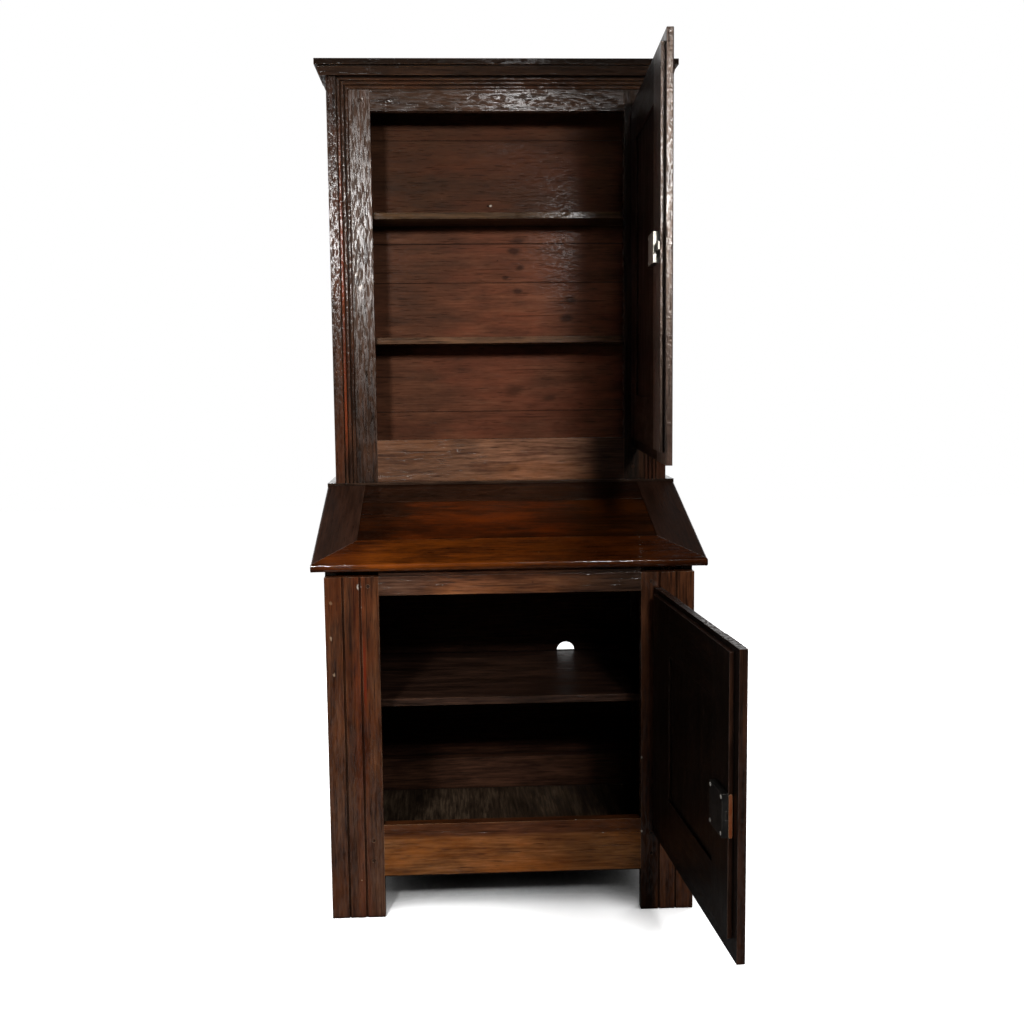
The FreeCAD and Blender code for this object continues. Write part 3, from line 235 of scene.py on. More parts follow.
    # knots, bruises and nail heads: where each is, its radius, its strength and its colour
    for x, y, z, size, strong, hue in marks:
        apart = add(tree, "ShaderNodeVectorMath", {0: place, 1: (x, y, z)}, operation="SUBTRACT")
        apart = add(tree, "ShaderNodeVectorMath", {0: apart, 1: tuple(1.0 - 0.4 * abs(r) for r in run)},
                    operation="MULTIPLY")
        uneven = film if size < 0.006 else patina
        apart = add(tree, "ShaderNodeVectorMath", {0: uneven.outputs["Color"], 1: (size * 2.4,) * 3, 2: apart},
                    operation="MULTIPLY_ADD")
        apart = add(tree, "ShaderNodeVectorMath", {0: apart, 1: (size * 1.2,) * 3}, operation="SUBTRACT")
        reach = add(tree, "ShaderNodeVectorMath", {0: apart}, operation="LENGTH").outputs["Value"]
        cover = add(tree, "ShaderNodeMapRange", {"Value": reach, "From Min": size, "From Max": size * 0.4,
                                                 "To Max": strong})
        colour = add(tree, "ShaderNodeMix", {0: cover, 6: colour, 7: linear(hue)}, data_type="RGBA").outputs[2]
    # nicks through the varnish and a few worm holes, some 2 mm across
    cells = add(tree, "ShaderNodeTexVoronoi", {"Vector": laid, "Scale": 26.0})
    lot = add(tree, "ShaderNodeSeparateXYZ", {0: cells.outputs["Color"]})
    ragged = add(tree, "ShaderNodeVectorMath", {0: film.outputs["Color"], 1: (0.03,) * 3}, operation="MULTIPLY")
    ragged = add(tree, "ShaderNodeVectorMath", {0: ragged}, operation="LENGTH").outputs["Value"]
    speck = add(tree, "ShaderNodeMath", {0: cells.outputs["Distance"], 1: ragged}, operation="ADD")
    speck = add(tree, "ShaderNodeMapRange", {"Value": speck, "From Min": 0.075, "From Max": 0.05})
    worm = add(tree, "ShaderNodeMapRange", {"Value": lot, "From Min": 0.14, "From Max": 0.12, "To Max": 0.9})
    worm = add(tree, "ShaderNodeMath", {0: speck, 1: worm}, operation="MULTIPLY")
    colour = add(tree, "ShaderNodeMix", {0: worm, 6: colour, 7: deep}, data_type="RGBA").outputs[2]
    nick = add(tree, "ShaderNodeMapRange", {"Value": lot, "From Min": 0.80, "From Max": 0.82, "To Max": nicks})
    nick = add(tree, "ShaderNodeMath", {0: speck, 1: nick}, operation="MULTIPLY")
    # corners and grooves are darkened, both as old wax and dirt and as painted shade; arrises are rubbed pale over
    # the last 2 mm
    shelter = add(tree, "ShaderNodeAmbientOcclusion", {"Distance": 0.011}, samples=6).outputs["AO"]
    dirt_and_shade = add(tree, "ShaderNodeMapRange", {"Value": shelter, "From Min": 0.93, "From Max": 0.5, "To Max": grime_and_shade})
    colour = add(tree, "ShaderNodeMix", {0: dirt_and_shade, 6: colour, 7: deep}, data_type="RGBA").outputs[2]
    rounded = add(tree, "ShaderNodeBevel", {"Radius": arris}, samples=4)
    flat = add(tree, "ShaderNodeNewGeometry").outputs["Normal"]
    same = add(tree, "ShaderNodeVectorMath", {0: rounded, 1: flat}, operation="DOT_PRODUCT").outputs["Value"]
    corner = add(tree, "ShaderNodeMapRange", {"Value": same, "From Min": 0.985, "From Max": 0.80})
    handled = add(tree, "ShaderNodeMapRange", {"Value": patina, "From Min": 0.4, "From Max": 0.6,
                                               "To Min": 0.1 * wear, "To Max": wear})
    exposed = add(tree, "ShaderNodeMapRange", {"Value": shelter, "From Min": 0.6, "From Max": 0.95})
    rubbed = add(tree, "ShaderNodeMath", {0: corner, 1: handled}, operation="MULTIPLY")
    rubbed = add(tree, "ShaderNodeMath", {0: rubbed, 1: exposed}, operation="MULTIPLY")
    rubbed = add(tree, "ShaderNodeMath", {0: rubbed, 1: nick}, operation="MAXIMUM")
    colour = add(tree, "ShaderNodeMix", {0: rubbed, 6: colour, 7: worn}, data_type="RGBA").outputs[2]
    left_on = add(tree, "ShaderNodeMapRange", {"Value": film, "From Min": 0.45, "From Max": 0.52,
                                               "To Min": 0.08 * coat, "To Max": min(1.0, 1.7 * coat)})
    clear_of_hollows = add(tree, "ShaderNodeMapRange", {"Value": dirt_and_shade, "From Max": 0.8, "To Min": 1.0, "To Max": 0.1})
    varnish = add(tree, "ShaderNodeMath", {0: left_on, 1: clear_of_hollows}, operation="MULTIPLY")
    if shaded_inside:
        # the face that shuts into the cupboard is darkened by painted shade, and dull
        inward, inside_shade = shaded_inside
        facing = add(tree, "ShaderNodeVectorMath", {0: coordinates.outputs["Normal"], 1: inward},
                     operation="DOT_PRODUCT").outputs["Value"]
        facing = add(tree, "ShaderNodeMapRange", {"Value": facing, "From Min": 0.6, "From Max": 0.9})
        inside_shaded = add(tree, "ShaderNodeVectorMath", {0: colour, 1: inside_shade}, operation="MULTIPLY")
        colour = add(tree, "ShaderNodeMix", {0: facing, 6: colour, 7: inside_shaded}, data_type="RGBA").outputs[2]
        dull = add(tree, "ShaderNodeMapRange", {"Value": facing, "To Min": 1.0, "To Max": 0.3})
        varnish = add(tree, "ShaderNodeMath", {0: varnish, 1: dull}, operation="MULTIPLY")
    rough = add(tree, "ShaderNodeMapRange", {"Value": patina, "From Min": 0.3, "From Max": 0.7,
                                             "To Min": gloss - 0.1, "To Max": gloss + 0.12})
    height = add(tree, "ShaderNodeMath", {0: lines, 1: 0.08}, operation="MULTIPLY")
    for rise, share in ((film, 0.34), (patina, 0.35), (sunk, -0.5)):
        height = add(tree, "ShaderNodeMath", {0: rise, 1: share, 2: height}, operation="MULTIPLY_ADD")
    bump = add(tree, "ShaderNodeBump", {"Strength": 1.0, "Distance": 0.001 * relief, "Height": height,
                                        "Normal": rounded})
    finish = add(tree, "ShaderNodeBsdfPrincipled", {
        "Base Color": colour, "Roughness": rough, "IOR": 1.5, "Specular IOR Level": veil,
        "Specular Tint": (1.0, 0.72, 0.55, 1.0), "Coat Weight": varnish, "Coat Roughness": coat_rough,
        "Normal": bump, "Coat Normal": bump})
    add(tree, "ShaderNodeOutputMaterial", {"Surface": finish})
    return material


def middle(name):
    low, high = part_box(name)
    return (low + high) / 2


def finish_with(material, *names):
    for name in names:
        for slot in nodes[name].material_slots:
            slot.material = material


def on_face(y, *spots):
    """Marks on an upright face at depth `y`; a spot is its x, z, radius, strength and colour."""
    return [(x, y, z, *rest) for x, z, *rest in spots]


ACROSS, ALONG_DEPTH, UPRIGHT = (1, 0, 0), (0, 1, 0), (0, 0, 1)
LOWER_FRONT = 0.0
STILE_COLOURS = ("#22110a", "#432616", "#5a3620", "#a08064")
finish_with(old_oak("stained_oak_left_stile", UPRIGHT, middle("lower_left_front_stile"), STILE_COLOURS,
                    glow="#5e2c10", tinted=0.5, wear=0.6, nicks=0.8, seed=1.0,
                    patches=(("#641c08", 0.7, (0, -0.327, -0.322, 0.001), (2, 0.50, 0.64, 0.02)),
                             ((0.9, 1.1, 1.5), 1.0, (2, -0.5, 0.30, 0.05)),
                             ((1.15, 0.85, 0.7), 0.8, (0, -0.350, -0.322, 0.004))),
                    marks=on_face(LOWER_FRONT, (-0.333, 0.760, 0.005, 0.9, "#d9cfc2"),
                                  (-0.333, 0.760, 0.0028, 1.0, "#050403"), (-0.398, 0.645, 0.003, 0.7, "#a58c72"),
                                  (-0.393, 0.562, 0.003, 0.7, "#a58c72"), (-0.330, 0.713, 0.0022, 0.8, "#b8a089"),
                                  (-0.398, 0.724, 0.004, 0.6, "#8a6c50"))),
            "lower_left_front_stile")
finish_with(old_oak("stained_oak_right_stile", UPRIGHT, middle("lower_right_front_stile"), STILE_COLOURS,
                    glow="#54301c", tinted=0.4, wear=0.5, seed=2.0,
                    patches=(((0.8, 0.85, 0.95), 1.0, (2, -0.5, 0.30, 0.05)),
                             # a darker strip beside the hinge, painted shade from the open door
                             ((0.75, 0.72, 0.75), 0.9, (0, 0.28, 0.323, 0.002), (2, 0.17, 0.75, 0.02)),
                             ((1.5, 1.4, 1.3), 1.0, (0, 0.324, 0.5, 0.002))),
                    marks=on_face(LOWER_FRONT, (0.2925, 0.185, 0.0025, 0.9, "#c9bfb2"),
                                  (0.2925, 0.358, 0.002, 0.9, "#c9bfb2"))),
            "lower_right_front_stile")

# Front rails of the lower case: the shallow top rail has a painted golden sheen in its middle, painted shade at its
# right end and a painted shadow of the slope's nose along its top; the bottom rail, kicked clean of its stain, is the
# palest wood at the front, with a painted sheen in its middle, a red-brown upper margin and a worn arris.
finish_with(old_oak("stained_oak_lower_top_rail", ACROSS, middle("lower_top_rail"),
                    ("#2c1a12", "#4a3023", "#5e4232", "#8c6850"), glow="#644026", tinted=0.4, wear=0.8, seed=3.0,
                    # a brighter middle painted as sheen, a darker right end painted as shade, and a dark top strip
                    # painted as the nose's shadow
                    patches=(((2.0, 1.6, 1.15), 1.0, (0, -0.17, 0.13, 0.04)),
                             ((0.5, 0.55, 0.6), 1.0, (0, 0.21, 0.5, 0.03)),
                             ((0.55, 0.5, 0.5), 1.0, (2, 0.7745, 0.79, 0.0015)))), "lower_top_rail")
finish_with(old_oak("kicked_oak_bottom_rail", ACROSS, middle("lower_bottom_rail"),
                    ("#4b2a12", "#6b4222", "#84552f", "#b68f68"), glow="#8a4c18", tinted=0.5, coat=0.25, seed=4.0,
                    wear=0.9, patches=(((0.42, 0.38, 0.5), 1.0, (2, 0.184, 0.3, 0.005)),
                                       # its brighter middle is a painted sheen
                                       ((1.35, 1.25, 1.15), 1.0, (0, -0.13, 0.13, 0.04))),
                    marks=on_face(LOWER_FRONT, (-0.02, 0.15, 0.014, 0.3, "#2c170c"),
                                  (0.13, 0.16, 0.014, 0.3, "#2c170c"))),
            "lower_bottom_rail")

# Rear posts and side frames of the lower case: two rails tenoned between front stile and rear post at each side,
# with a thin panel in their grooves. Same oak, darker, since nothing rubs it.
SIDE_COLOURS = ("#1c100a", "#362117", "#4a3122", "#7c5a43")
for name, seed in (("lower_left_rear_post", 5.0), ("lower_right_rear_post", 6.0),
                   ("lower_left_side_panel", 7.0), ("lower_right_side_panel", 8.0)):
    finish_with(old_oak("side_oak_" + name, UPRIGHT, middle(name), SIDE_COLOURS, glow="#54300f", tinted=0.4,
                        seed=seed), name)
for name, seed in (("lower_left_side_top_rail", 9.0), ("lower_right_side_top_rail", 10.0),
                   ("lower_left_side_bottom_rail", 11.0), ("lower_right_side_bottom_rail", 12.0)):
    finish_with(old_oak("side_oak_" + name, ALONG_DEPTH, middle(name), SIDE_COLOURS, glow="#54300f", tinted=0.4,
                        seed=seed), name)
finish_with(old_oak("side_oak_rear_bottom_rail", ACROSS, middle("lower_rear_bottom_rail"),
                    ("#1e110b", "#352016", "#452c1f", "#6f503c"), coat=0.0, seed=13.0), "lower_rear_bottom_rail")

# Floor boards, bearers and shelf of the lower case: loose-laid oak boards that were never varnished, blackened
# by use, the floor scuffed grey across the grain and the shelf's front edge rubbed brown.
finish_with(old_oak("scuffed_floor_boards", ALONG_DEPTH, middle("lower_floor_boards"),
                    ("#1f1812", "#3a2e23", "#58493a", "#7a634c"), coat=0.1, blotch=0.45, seed=14.0),
            "lower_floor_boards")
finish_with(old_oak("dark_bearers", ALONG_DEPTH, middle("lower_bearers"),
                    ("#1a100b", "#2e1f16", "#3e2c1c", "#54402d"), coat=0.0, seed=15.0), "lower_bearers")
for name, seed in (("lower_shelf_front_board", 16.0), ("lower_shelf_rear_board", 17.0)):
    finish_with(old_oak("rubbed_shelf_" + name, ACROSS, middle(name), ("#1c110c", "#33221a", "#473024", "#7a5a48"),
                        coat=0.15, blotch=0.4, wear=0.7, seed=seed), name)

# Backs of both cases: wide boards nailed on with open joints, sawn and never polished, red-brown with age. The lower
# back is coloured darker. Old dust and wax fill the joints between the boards.
KNOT = "#150a06"
BACK_INNER, BACK_OUTER = 0.612, 0.626
finish_with(old_oak("red_brown_lower_back", ACROSS, middle("lower_back_boards"),
                    ("#1c0f09", "#301b12", "#3e2619", "#5c3d2b"), coat=0.0, seed=18.0), "lower_back_boards")
finish_with(old_oak("red_brown_upper_back", ACROSS, middle("upper_back_boards"),
                    ("#3a2217", "#523021", "#623e2c", "#7a5442"), glow="#5e3121", tinted=0.5, veil=0.06, coat=0.03,
                    blotch=0.35, streak=0.5, nicks=0.3, seed=19.0, grime_and_shade=0.6,
                    patches=(((0.64, 0.66, 0.62), 1.0, (2, 1.62, 2.0, 0.02)),
                             ((0.85, 0.9, 0.9), 1.0, (0, -0.5, -0.14, 0.05)),
                             ((1.3, 1.22, 1.15), 1.0, (0, -0.06, 0.16, 0.05), (2, 1.33, 1.6, 0.02)),
                             ((1.15, 1.12, 1.1), 1.0, (2, 0.95, 1.45, 0.02)),
                             ((0.3, 0.28, 0.28), 1.0, (2, 1.5593, 1.5625, 0.0007)),
                             ((0.4, 0.38, 0.38), 0.9, (2, 1.4588, 1.4614, 0.0007)),
                             ((0.4, 0.38, 0.38), 0.9, (2, 1.8238, 1.8262, 0.0007)),
                             ((0.4, 0.38, 0.38), 0.9, (2, 1.1215, 1.1245, 0.0007))),
                    marks=on_face(BACK_INNER, (0.056, 1.570, 0.011, 0.55, KNOT), (0.050, 1.540, 0.016, 0.75, KNOT),
                                  (0.060, 1.498, 0.010, 0.7, KNOT), (0.022, 1.4725, 0.007, 0.7, KNOT),
                                  (0.054, 1.436, 0.011, 0.75, "#2a140b"), (0.194, 1.414, 0.013, 0.65, KNOT),
                                  (0.183, 1.367, 0.012, 0.7, KNOT), (0.201, 1.730, 0.010, 0.4, KNOT),
                                  (-0.027, 1.710, 0.008, 0.4, KNOT), (-0.015, 1.659, 0.0025, 0.9, "#e8dcc8"),
                                  (-0.020, 1.6585, 0.003, 1.0, "#050302"), (0.046, 1.178, 0.020, 0.5, KNOT),
                                  (0.134, 1.161, 0.014, 0.45, KNOT))),
            "upper_back_boards")
dust, tree = empty_tree("packed_dust")
speckle = add(tree, "ShaderNodeTexNoise", {
    "Vector": add(tree, "ShaderNodeTexCoord").outputs["Object"], "Scale": 400.0}).outputs["Fac"]
tint = add(tree, "ShaderNodeMix", {0: speckle, 6: linear("#060403"), 7: linear("#1d130d")}, data_type="RGBA")
crust = add(tree, "ShaderNodeBump", {"Strength": 0.6, "Distance": 0.0006, "Height": speckle})
matt = add(tree, "ShaderNodeBsdfPrincipled", {"Base Color": tint.outputs[2], "Roughness": 0.95,
                                              "Specular IOR Level": 0.05, "Normal": crust})
add(tree, "ShaderNodeOutputMaterial", {"Surface": matt})


def brick(low, high):
    (a, b, c), (d, e, f) = low, high
    corners = [(a, b, c), (d, b, c), (d, e, c), (a, e, c), (a, b, f), (d, b, f), (d, e, f), (a, e, f)]
    return corners, [(3, 2, 1, 0), (4, 5, 6, 7), (0, 1, 5, 4), (1, 2, 6, 5), (2, 3, 7, 6), (3, 0, 4, 7)]


def mesh_of(name, shapes, material, matrix=None):
    points, faces = [], []
    for corners, sides in shapes:
        faces += [tuple(i + len(points) for i in side) for side in sides]
        points += corners
    mesh = bpy.data.meshes.new(name)
    mesh.from_pydata(points, [], faces)
    mesh.materials.append(material)
    if matrix is not None:
        mesh.transform(matrix)
    piece = bpy.data.objects.new(name, mesh)
    bpy.context.scene.collection.objects.link(piece)
    return piece


# each joint is 0.8 mm wide; the dust fills it but for a hair, and stands back from both faces of the boards
JOINT_WIDE, HAIR = 0.0008, 0.00001
DUST_FROM, DUST_TO = BACK_INNER + 0.0015, BACK_OUTER - 0.0025
back_dust = []
for half_wide, joints in ((0.386, (0.283, 0.469, 0.746)), (0.397, (1.123, 1.460, 1.561, 1.825))):
    back_dust += [brick((-half_wide, DUST_FROM, z + HAIR), (half_wide, DUST_TO, z + JOINT_WIDE - HAIR))
                  for z in joints]
joint_dust = mesh_of("back_joint_dust", back_dust, dust)
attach(joint_dust, "case")

# The sloping board: two rails and two side members, mitred at the front and framing a panel, planed smooth and kept
# polished. Its panel and front rail are painted orange-brown and lighter in the middle as sheen, and darker towards
# the ends as shade; the arris of its nose is rubbed pale, and that pale colour also serves as a painted highlight.
SLOPE_DEEP, SLOPE_RISE = 0.432, 0.136
slope_run = Vector((0, SLOPE_DEEP, SLOPE_RISE)).normalized()
finish_with(old_oak("polished_slope_panel", ACROSS, middle("slope_panel"),
                    ("#1a0a03", "#351605", "#4c2208", "#8a5020"), glow="#662c06", tinted=0.5, gloss=0.45, veil=0.05,
                    coat=0.4, coat_rough=0.12, relief=0.3, blotch=0.4, checks=0.3, streak=0.7, seed=20.0,
                    arris=0.0012,
                    # a lighter middle painted as sheen, and darker ends painted as shade
                    patches=(((1.8, 1.45, 0.9), 0.8, (0, -0.25, 0.14, 0.05), (1, 0.11, 0.34, 0.02)),
                             ((0.5, 0.52, 0.5), 1.0, (0, -0.5, -0.24, 0.04)),
                             ((0.8, 0.95, 0.8), 1.0, (0, 0.16, 0.5, 0.05))),
                    marks=((-0.20, 0.17, 0.867, 0.030, 0.6, "#0c0502"), (-0.24, 0.24, 0.889, 0.02, 0.5, "#0c0502"),
                           (-0.155, 0.112, 0.849, 0.012, 0.6, "#0c0502"),
                           (0.008, 0.159, 0.864, 0.014, 0.5, "#0c0502"))),
            "slope_panel")
finish_with(old_oak("polished_slope_front_rail", ACROSS, middle("slope_front_rail"),
                    # the pale colour of the nose's rubbed arris is partly a painted highlight
                    ("#301404", "#562708", "#72370f", "#c89a74"), glow="#84400a", tinted=0.6, gloss=0.42, veil=0.05,
                    coat=0.6, coat_rough=0.1, wear=1.0, arris=0.0014, relief=0.3, blotch=0.35, checks=0.3, seed=21.0,
                    # the darker right and left ends are painted shade
                    patches=(((0.5, 0.48, 0.6), 1.0, (0, 0.14, 0.5, 0.05)),
                             ((0.45, 0.5, 0.9), 0.9, (2, 0.78, 0.8015, 0.002)),
                             ((0.7, 0.65, 0.7), 1.0, (0, -0.5, -0.32, 0.02)))), "slope_front_rail")
finish_with(old_oak("polished_slope_back_rail", ACROSS, middle("slope_back_rail"),
                    ("#140903", "#261107", "#351b0d", "#83552f"), gloss=0.42, veil=0.05, coat=0.4, coat_rough=0.12,
                    relief=0.3, checks=0.3, arris=0.0014, seed=22.0), "slope_back_rail")
for name, seed in (("slope_left_stile", 23.0), ("slope_right_stile", 24.0)):
    finish_with(old_oak("polished_" + name, slope_run, middle(name), ("#24160f", "#3c261c", "#4c3226", "#93735a"),
                        gloss=0.45, coat=0.2, streak=0.5, relief=0.3, wear=0.7, checks=0.3, arris=0.0014,
                        seed=seed), name)
finish_with(old_oak("polished_flat_top", ACROSS, middle("flat_top_board"),
                    ("#1d120c", "#38261b", "#4c3628", "#7a5c45"), gloss=0.35, coat=6.0, coat_rough=0.08,
                    relief=0.12, seed=25.0), "flat_top_board")

# Front frame of the upper case: two stiles and two rails, pegged. The left stile's varnish is coarse and crazed and
# catches the lamp; the right stile is coloured darker, as painted shade beside the open door; the bottom rail is
# rubbed to a pinkish brown, with a painted sheen in its middle and painted shade at its right end.
UPPER_FRONT = 0.424
FRAME_COLOURS = ("#160c07", "#301d13", "#43291b", "#967561")
finish_with(old_oak("crazed_oak_upper_left_stile", UPRIGHT, middle("upper_left_front_stile"), FRAME_COLOURS,
                    gloss=0.34, veil=0.13, coat=0.42, coat_rough=0.24, crackle=0.2, relief=1.4,
                    nicks=0.8, wear=0.8, seed=26.0,
                    marks=on_face(UPPER_FRONT, (-0.352, 1.452, 0.010, 0.9, "#17100c"),
                                  (-0.345, 1.436, 0.005, 0.8, "#e6dcd2"), (-0.340, 1.438, 0.004, 0.8, "#e6dcd2"),
                                  (-0.354, 1.470, 0.004, 0.8, "#d9cec4"), (-0.330, 1.890, 0.0025, 0.8, "#cfc4ba"))),
            "upper_left_front_stile")
finish_with(old_oak("crazed_oak_upper_right_stile", UPRIGHT, middle("upper_right_front_stile"),
                    # colours darker than the left stile's, as painted shade beside the open door
                    ("#0e0906", "#241812", "#33231a", "#8a6b56"), coat=0.4, relief=1.2, wear=0.8, seed=27.0,
                    patches=(((2.2, 1.5, 0.8), 0.8, (0, 0.35, 0.375, 0.003), (2, 0.95, 1.09, 0.01)),),
                    marks=on_face(UPPER_FRONT, (0.3345, 1.0635, 0.0025, 0.9, "#cfc4ba"))),
            "upper_right_front_stile")
finish_with(old_oak("crazed_oak_upper_top_rail", ACROSS, middle("upper_top_rail"),
                    ("#1a0e08", "#322015", "#432c1f", "#8f705d"), coat=0.6, coat_rough=0.16, crackle=0.25, relief=0.9,
                    wear=0.8, seed=28.0), "upper_top_rail")
finish_with(old_oak("rubbed_oak_upper_bottom_rail", ACROSS, middle("upper_bottom_rail"),
                    ("#42291e", "#62422f", "#7a5640", "#ac8a72"), glow="#7c4c2c", tinted=0.4, coat=0.4, seed=29.0,
                    # its brighter middle is a painted sheen, its darker right end painted shade
                    patches=(((1.6, 1.55, 1.5), 1.0, (0, -0.02, 0.16, 0.05)),
                             ((0.35, 0.35, 0.4), 1.0, (0, 0.23, 0.5, 0.02)))), "upper_bottom_rail")

# Reeded mouldings and cornice: planed lengths of oak, nearly black with old varnish and painted shade in their
# hollows, worn to warm lines along the reeds. The reeds turn the upper corners with a mitre; the outermost on the
# left carries an orange line painted as the highlight of its varnish.
MOULDING_COLOURS = ("#160b06", "#301b11", "#452a1b", "#a87c5c")
finish_with(old_oak("dark_side_reeds", UPRIGHT, middle("side_reeded_mouldings"), MOULDING_COLOURS, glow="#5a2a10",
                    tinted=0.5, coat=0.3, coat_rough=0.2, crackle=0.5, relief=1.6, wear=0.9, arris=0.0016, grime_and_shade=1.0,
                    seed=30.0,
                    # an orange line down the outermost left reed, a painted highlight
                    patches=(((2.6, 1.35, 0.6), 0.9, (0, -0.3905, -0.3830, 0.0004), (2, 1.05, 1.80, 0.06)),
                             ((0.6, 0.55, 0.5), 1.0, (2, 1.86, 2.0, 0.03)))), "side_reeded_mouldings")
finish_with(old_oak("dark_top_reeds", ACROSS, middle("top_reeded_moulding"),
                    ("#140a05", "#2c180e", "#402617", "#a47a58"), glow="#4a2410", tinted=0.4, veil=0.06, coat=0.3,
                    relief=1.2, wear=1.0, arris=0.0016, grime_and_shade=1.0, seed=31.0), "top_reeded_moulding")
CORNICE_COLOURS = ("#100805", "#20140d", "#2e1e15", "#94684a")
finish_with(old_oak("dark_cornice_front", ACROSS, middle("cornice_front"), CORNICE_COLOURS, veil=0.06, coat=0.14,
                    wear=0.9, arris=0.0016, grime_and_shade=1.0, seed=32.0,
                    patches=(((1.5, 1.4, 1.3), 1.0, (2, 1.940, 1.963, 0.002)),
                             ((0.5, 0.42, 0.35), 1.0, (2, 1.966, 2.1, 0.002)))), "cornice_front")
for name, seed in (("cornice_left_return", 33.0), ("cornice_right_return", 34.0)):
    finish_with(old_oak("dark_" + name, ALONG_DEPTH, middle(name), CORNICE_COLOURS, veil=0.06, coat=0.3, wear=0.9,
                        arris=0.0016, grime_and_shade=1.0, seed=seed), name)

# Sides, top, floor and shelves of the upper case: sides stained like the front outside; shelves held on cleats,
# their front edges rubbed to the bare brown.
for name, seed in (("upper_left_side", 35.0), ("upper_right_side", 36.0)):
    finish_with(old_oak("stained_" + name, UPRIGHT, middle(name), SIDE_COLOURS, glow="#54300f", tinted=0.4,
                        seed=seed), name)
PLAIN_COLOURS = ("#1c100a", "#332016", "#452e20", "#6c4e3a")
for name, seed in (("upper_top_board", 37.0), ("upper_floor_board", 38.0)):
    finish_with(old_oak("plain_" + name, ACROSS, middle(name), PLAIN_COLOURS, coat=0.0, seed=seed), name)
for name, hues, seed in (("upper_shelf_lower", ("#332015", "#543a28", "#6a4a34", "#94704f"), 39.0),
                         ("upper_shelf_higher", ("#281a10", "#412e1c", "#523a26", "#84644a"), 40.0)):
    finish_with(old_oak("rubbed_" + name, ACROSS, middle(name), hues, coat=0.1, seed=seed), name)
finish_with(old_oak("plain_shelf_cleats", ALONG_DEPTH, middle("upper_shelf_cleats"), PLAIN_COLOURS, coat=0.0,
                    seed=41.0), "upper_shelf_cleats")

# Pegs: cleft oak pins driven through the tenons and cut off flush, so that they show their end grain.
finish_with(old_oak("cleft_oak_pegs", ALONG_DEPTH, middle("case_pegs"), ("#140c08", "#2a1b14", "#40291c", "#6a4d3a"),
                    coat=0.2, wear=0.6, seed=42.0), "case_pegs")

# The two doors: framed oak with a panel each, a lip that laps over the case and a thinner inner layer behind it.
# The stiles and panels run upright and the rails along the door; varnished outside, dull inside, and darkened inside
# by painted shade.
DOOR_TURN = {"upper": math.radians(87.1), "lower": math.radians(93.8)}
# only the upper door's free edge faces the lamps, and its coarse varnish glares
EDGE_GLARE = {"coat": 1.0, "coat_rough": 0.19, "relief": 2.0, "veil": 0.6, "gloss": 0.36}
for door, colours, inside_shade, first in (
    # the third entry darkens each door's inner face as painted shade
    ("upper", ("#1c110e", "#3a2822", "#52392f", "#b89a8c"), (0.2, 0.21, 0.21), 43.0),
    ("lower", ("#190e09", "#301c13", "#402619", "#a08478"), (0.42, 0.5, 0.5), 53.0),
):
    angle = DOOR_TURN[door]
    inward = ((-math.sin(angle), math.cos(angle), 0), inside_shade)
    for number, part in enumerate(("hinge_stile", "free_stile", "panel")):
        name = f"{door}_door_{part}"
        glare = EDGE_GLARE if name == "upper_door_free_stile" else {}
        finish_with(old_oak("dark_oak_" + name, UPRIGHT, middle(name), colours, **glare,
                            crackle=0.8, wear=0.8, shaded_inside=inward, seed=first + number), name)
    rail_run = (math.cos(angle), math.sin(angle), 0)
    for number, part in enumerate(("top_rail", "bottom_rail")):
        name = f"{door}_door_{part}"
        finish_with(old_oak("dark_oak_" + name, rail_run, middle(name), colours, wear=0.8, shaded_inside=inward,
                            seed=first + 5 + number), name)


# Ironwork: forged black iron leaves, pins and the lower lock, which is scaled and rubbed to dull metal on its
# edges; the upper lock is a newer one of bright steel, brushed and only lightly stained.
def forged_metal(name, dark, bright, rough, metal, shine, seed):
    material, tree = empty_tree(name)
    place = add(tree, "ShaderNodeTexCoord").outputs["Object"]
    laid = add(tree, "ShaderNodeMapping", {"Vector": place, "Location": (seed, seed, seed)})
    scale = add(tree, "ShaderNodeTexNoise", {"Vector": laid, "Scale": 190.0, "Detail": 5.0, "Roughness": 0.65})
    stain = add(tree, "ShaderNodeTexNoise", {"Vector": laid, "Scale": 45.0, "Detail": 3.0})
    rounded = add(tree, "ShaderNodeBevel", {"Radius": 0.0012}, samples=4)
    flat = add(tree, "ShaderNodeNewGeometry").outputs["Normal"]
    same = add(tree, "ShaderNodeVectorMath", {0: rounded, 1: flat}, operation="DOT_PRODUCT").outputs["Value"]
    corner = add(tree, "ShaderNodeMapRange", {"Value": same, "From Min": 0.985, "From Max": 0.85})
    mottled = add(tree, "ShaderNodeMapRange", {"Value": stain.outputs["Fac"], "From Min": 0.35, "From Max": 0.7,
                                               "To Max": shine})
    rubbed = add(tree, "ShaderNodeMath", {0: corner, 1: mottled}, operation="MAXIMUM")
    mixed = add(tree, "ShaderNodeMix", {0: rubbed, 6: linear(dark), 7: linear(bright)}, data_type="RGBA")
    roughness = add(tree, "ShaderNodeMapRange", {"Value": scale.outputs["Fac"], "To Min": rough - 0.1,
                                                 "To Max": rough + 0.15})
    bump = add(tree, "ShaderNodeBump", {"Strength": 0.4, "Distance": 0.0005, "Height": scale.outputs["Fac"],
                                        "Normal": rounded})
    surface = add(tree, "ShaderNodeBsdfPrincipled", {
        "Base Color": mixed.outputs[2], "Metallic": metal, "Roughness": roughness, "Normal": bump})
    add(tree, "ShaderNodeOutputMaterial", {"Surface": surface})
    return material


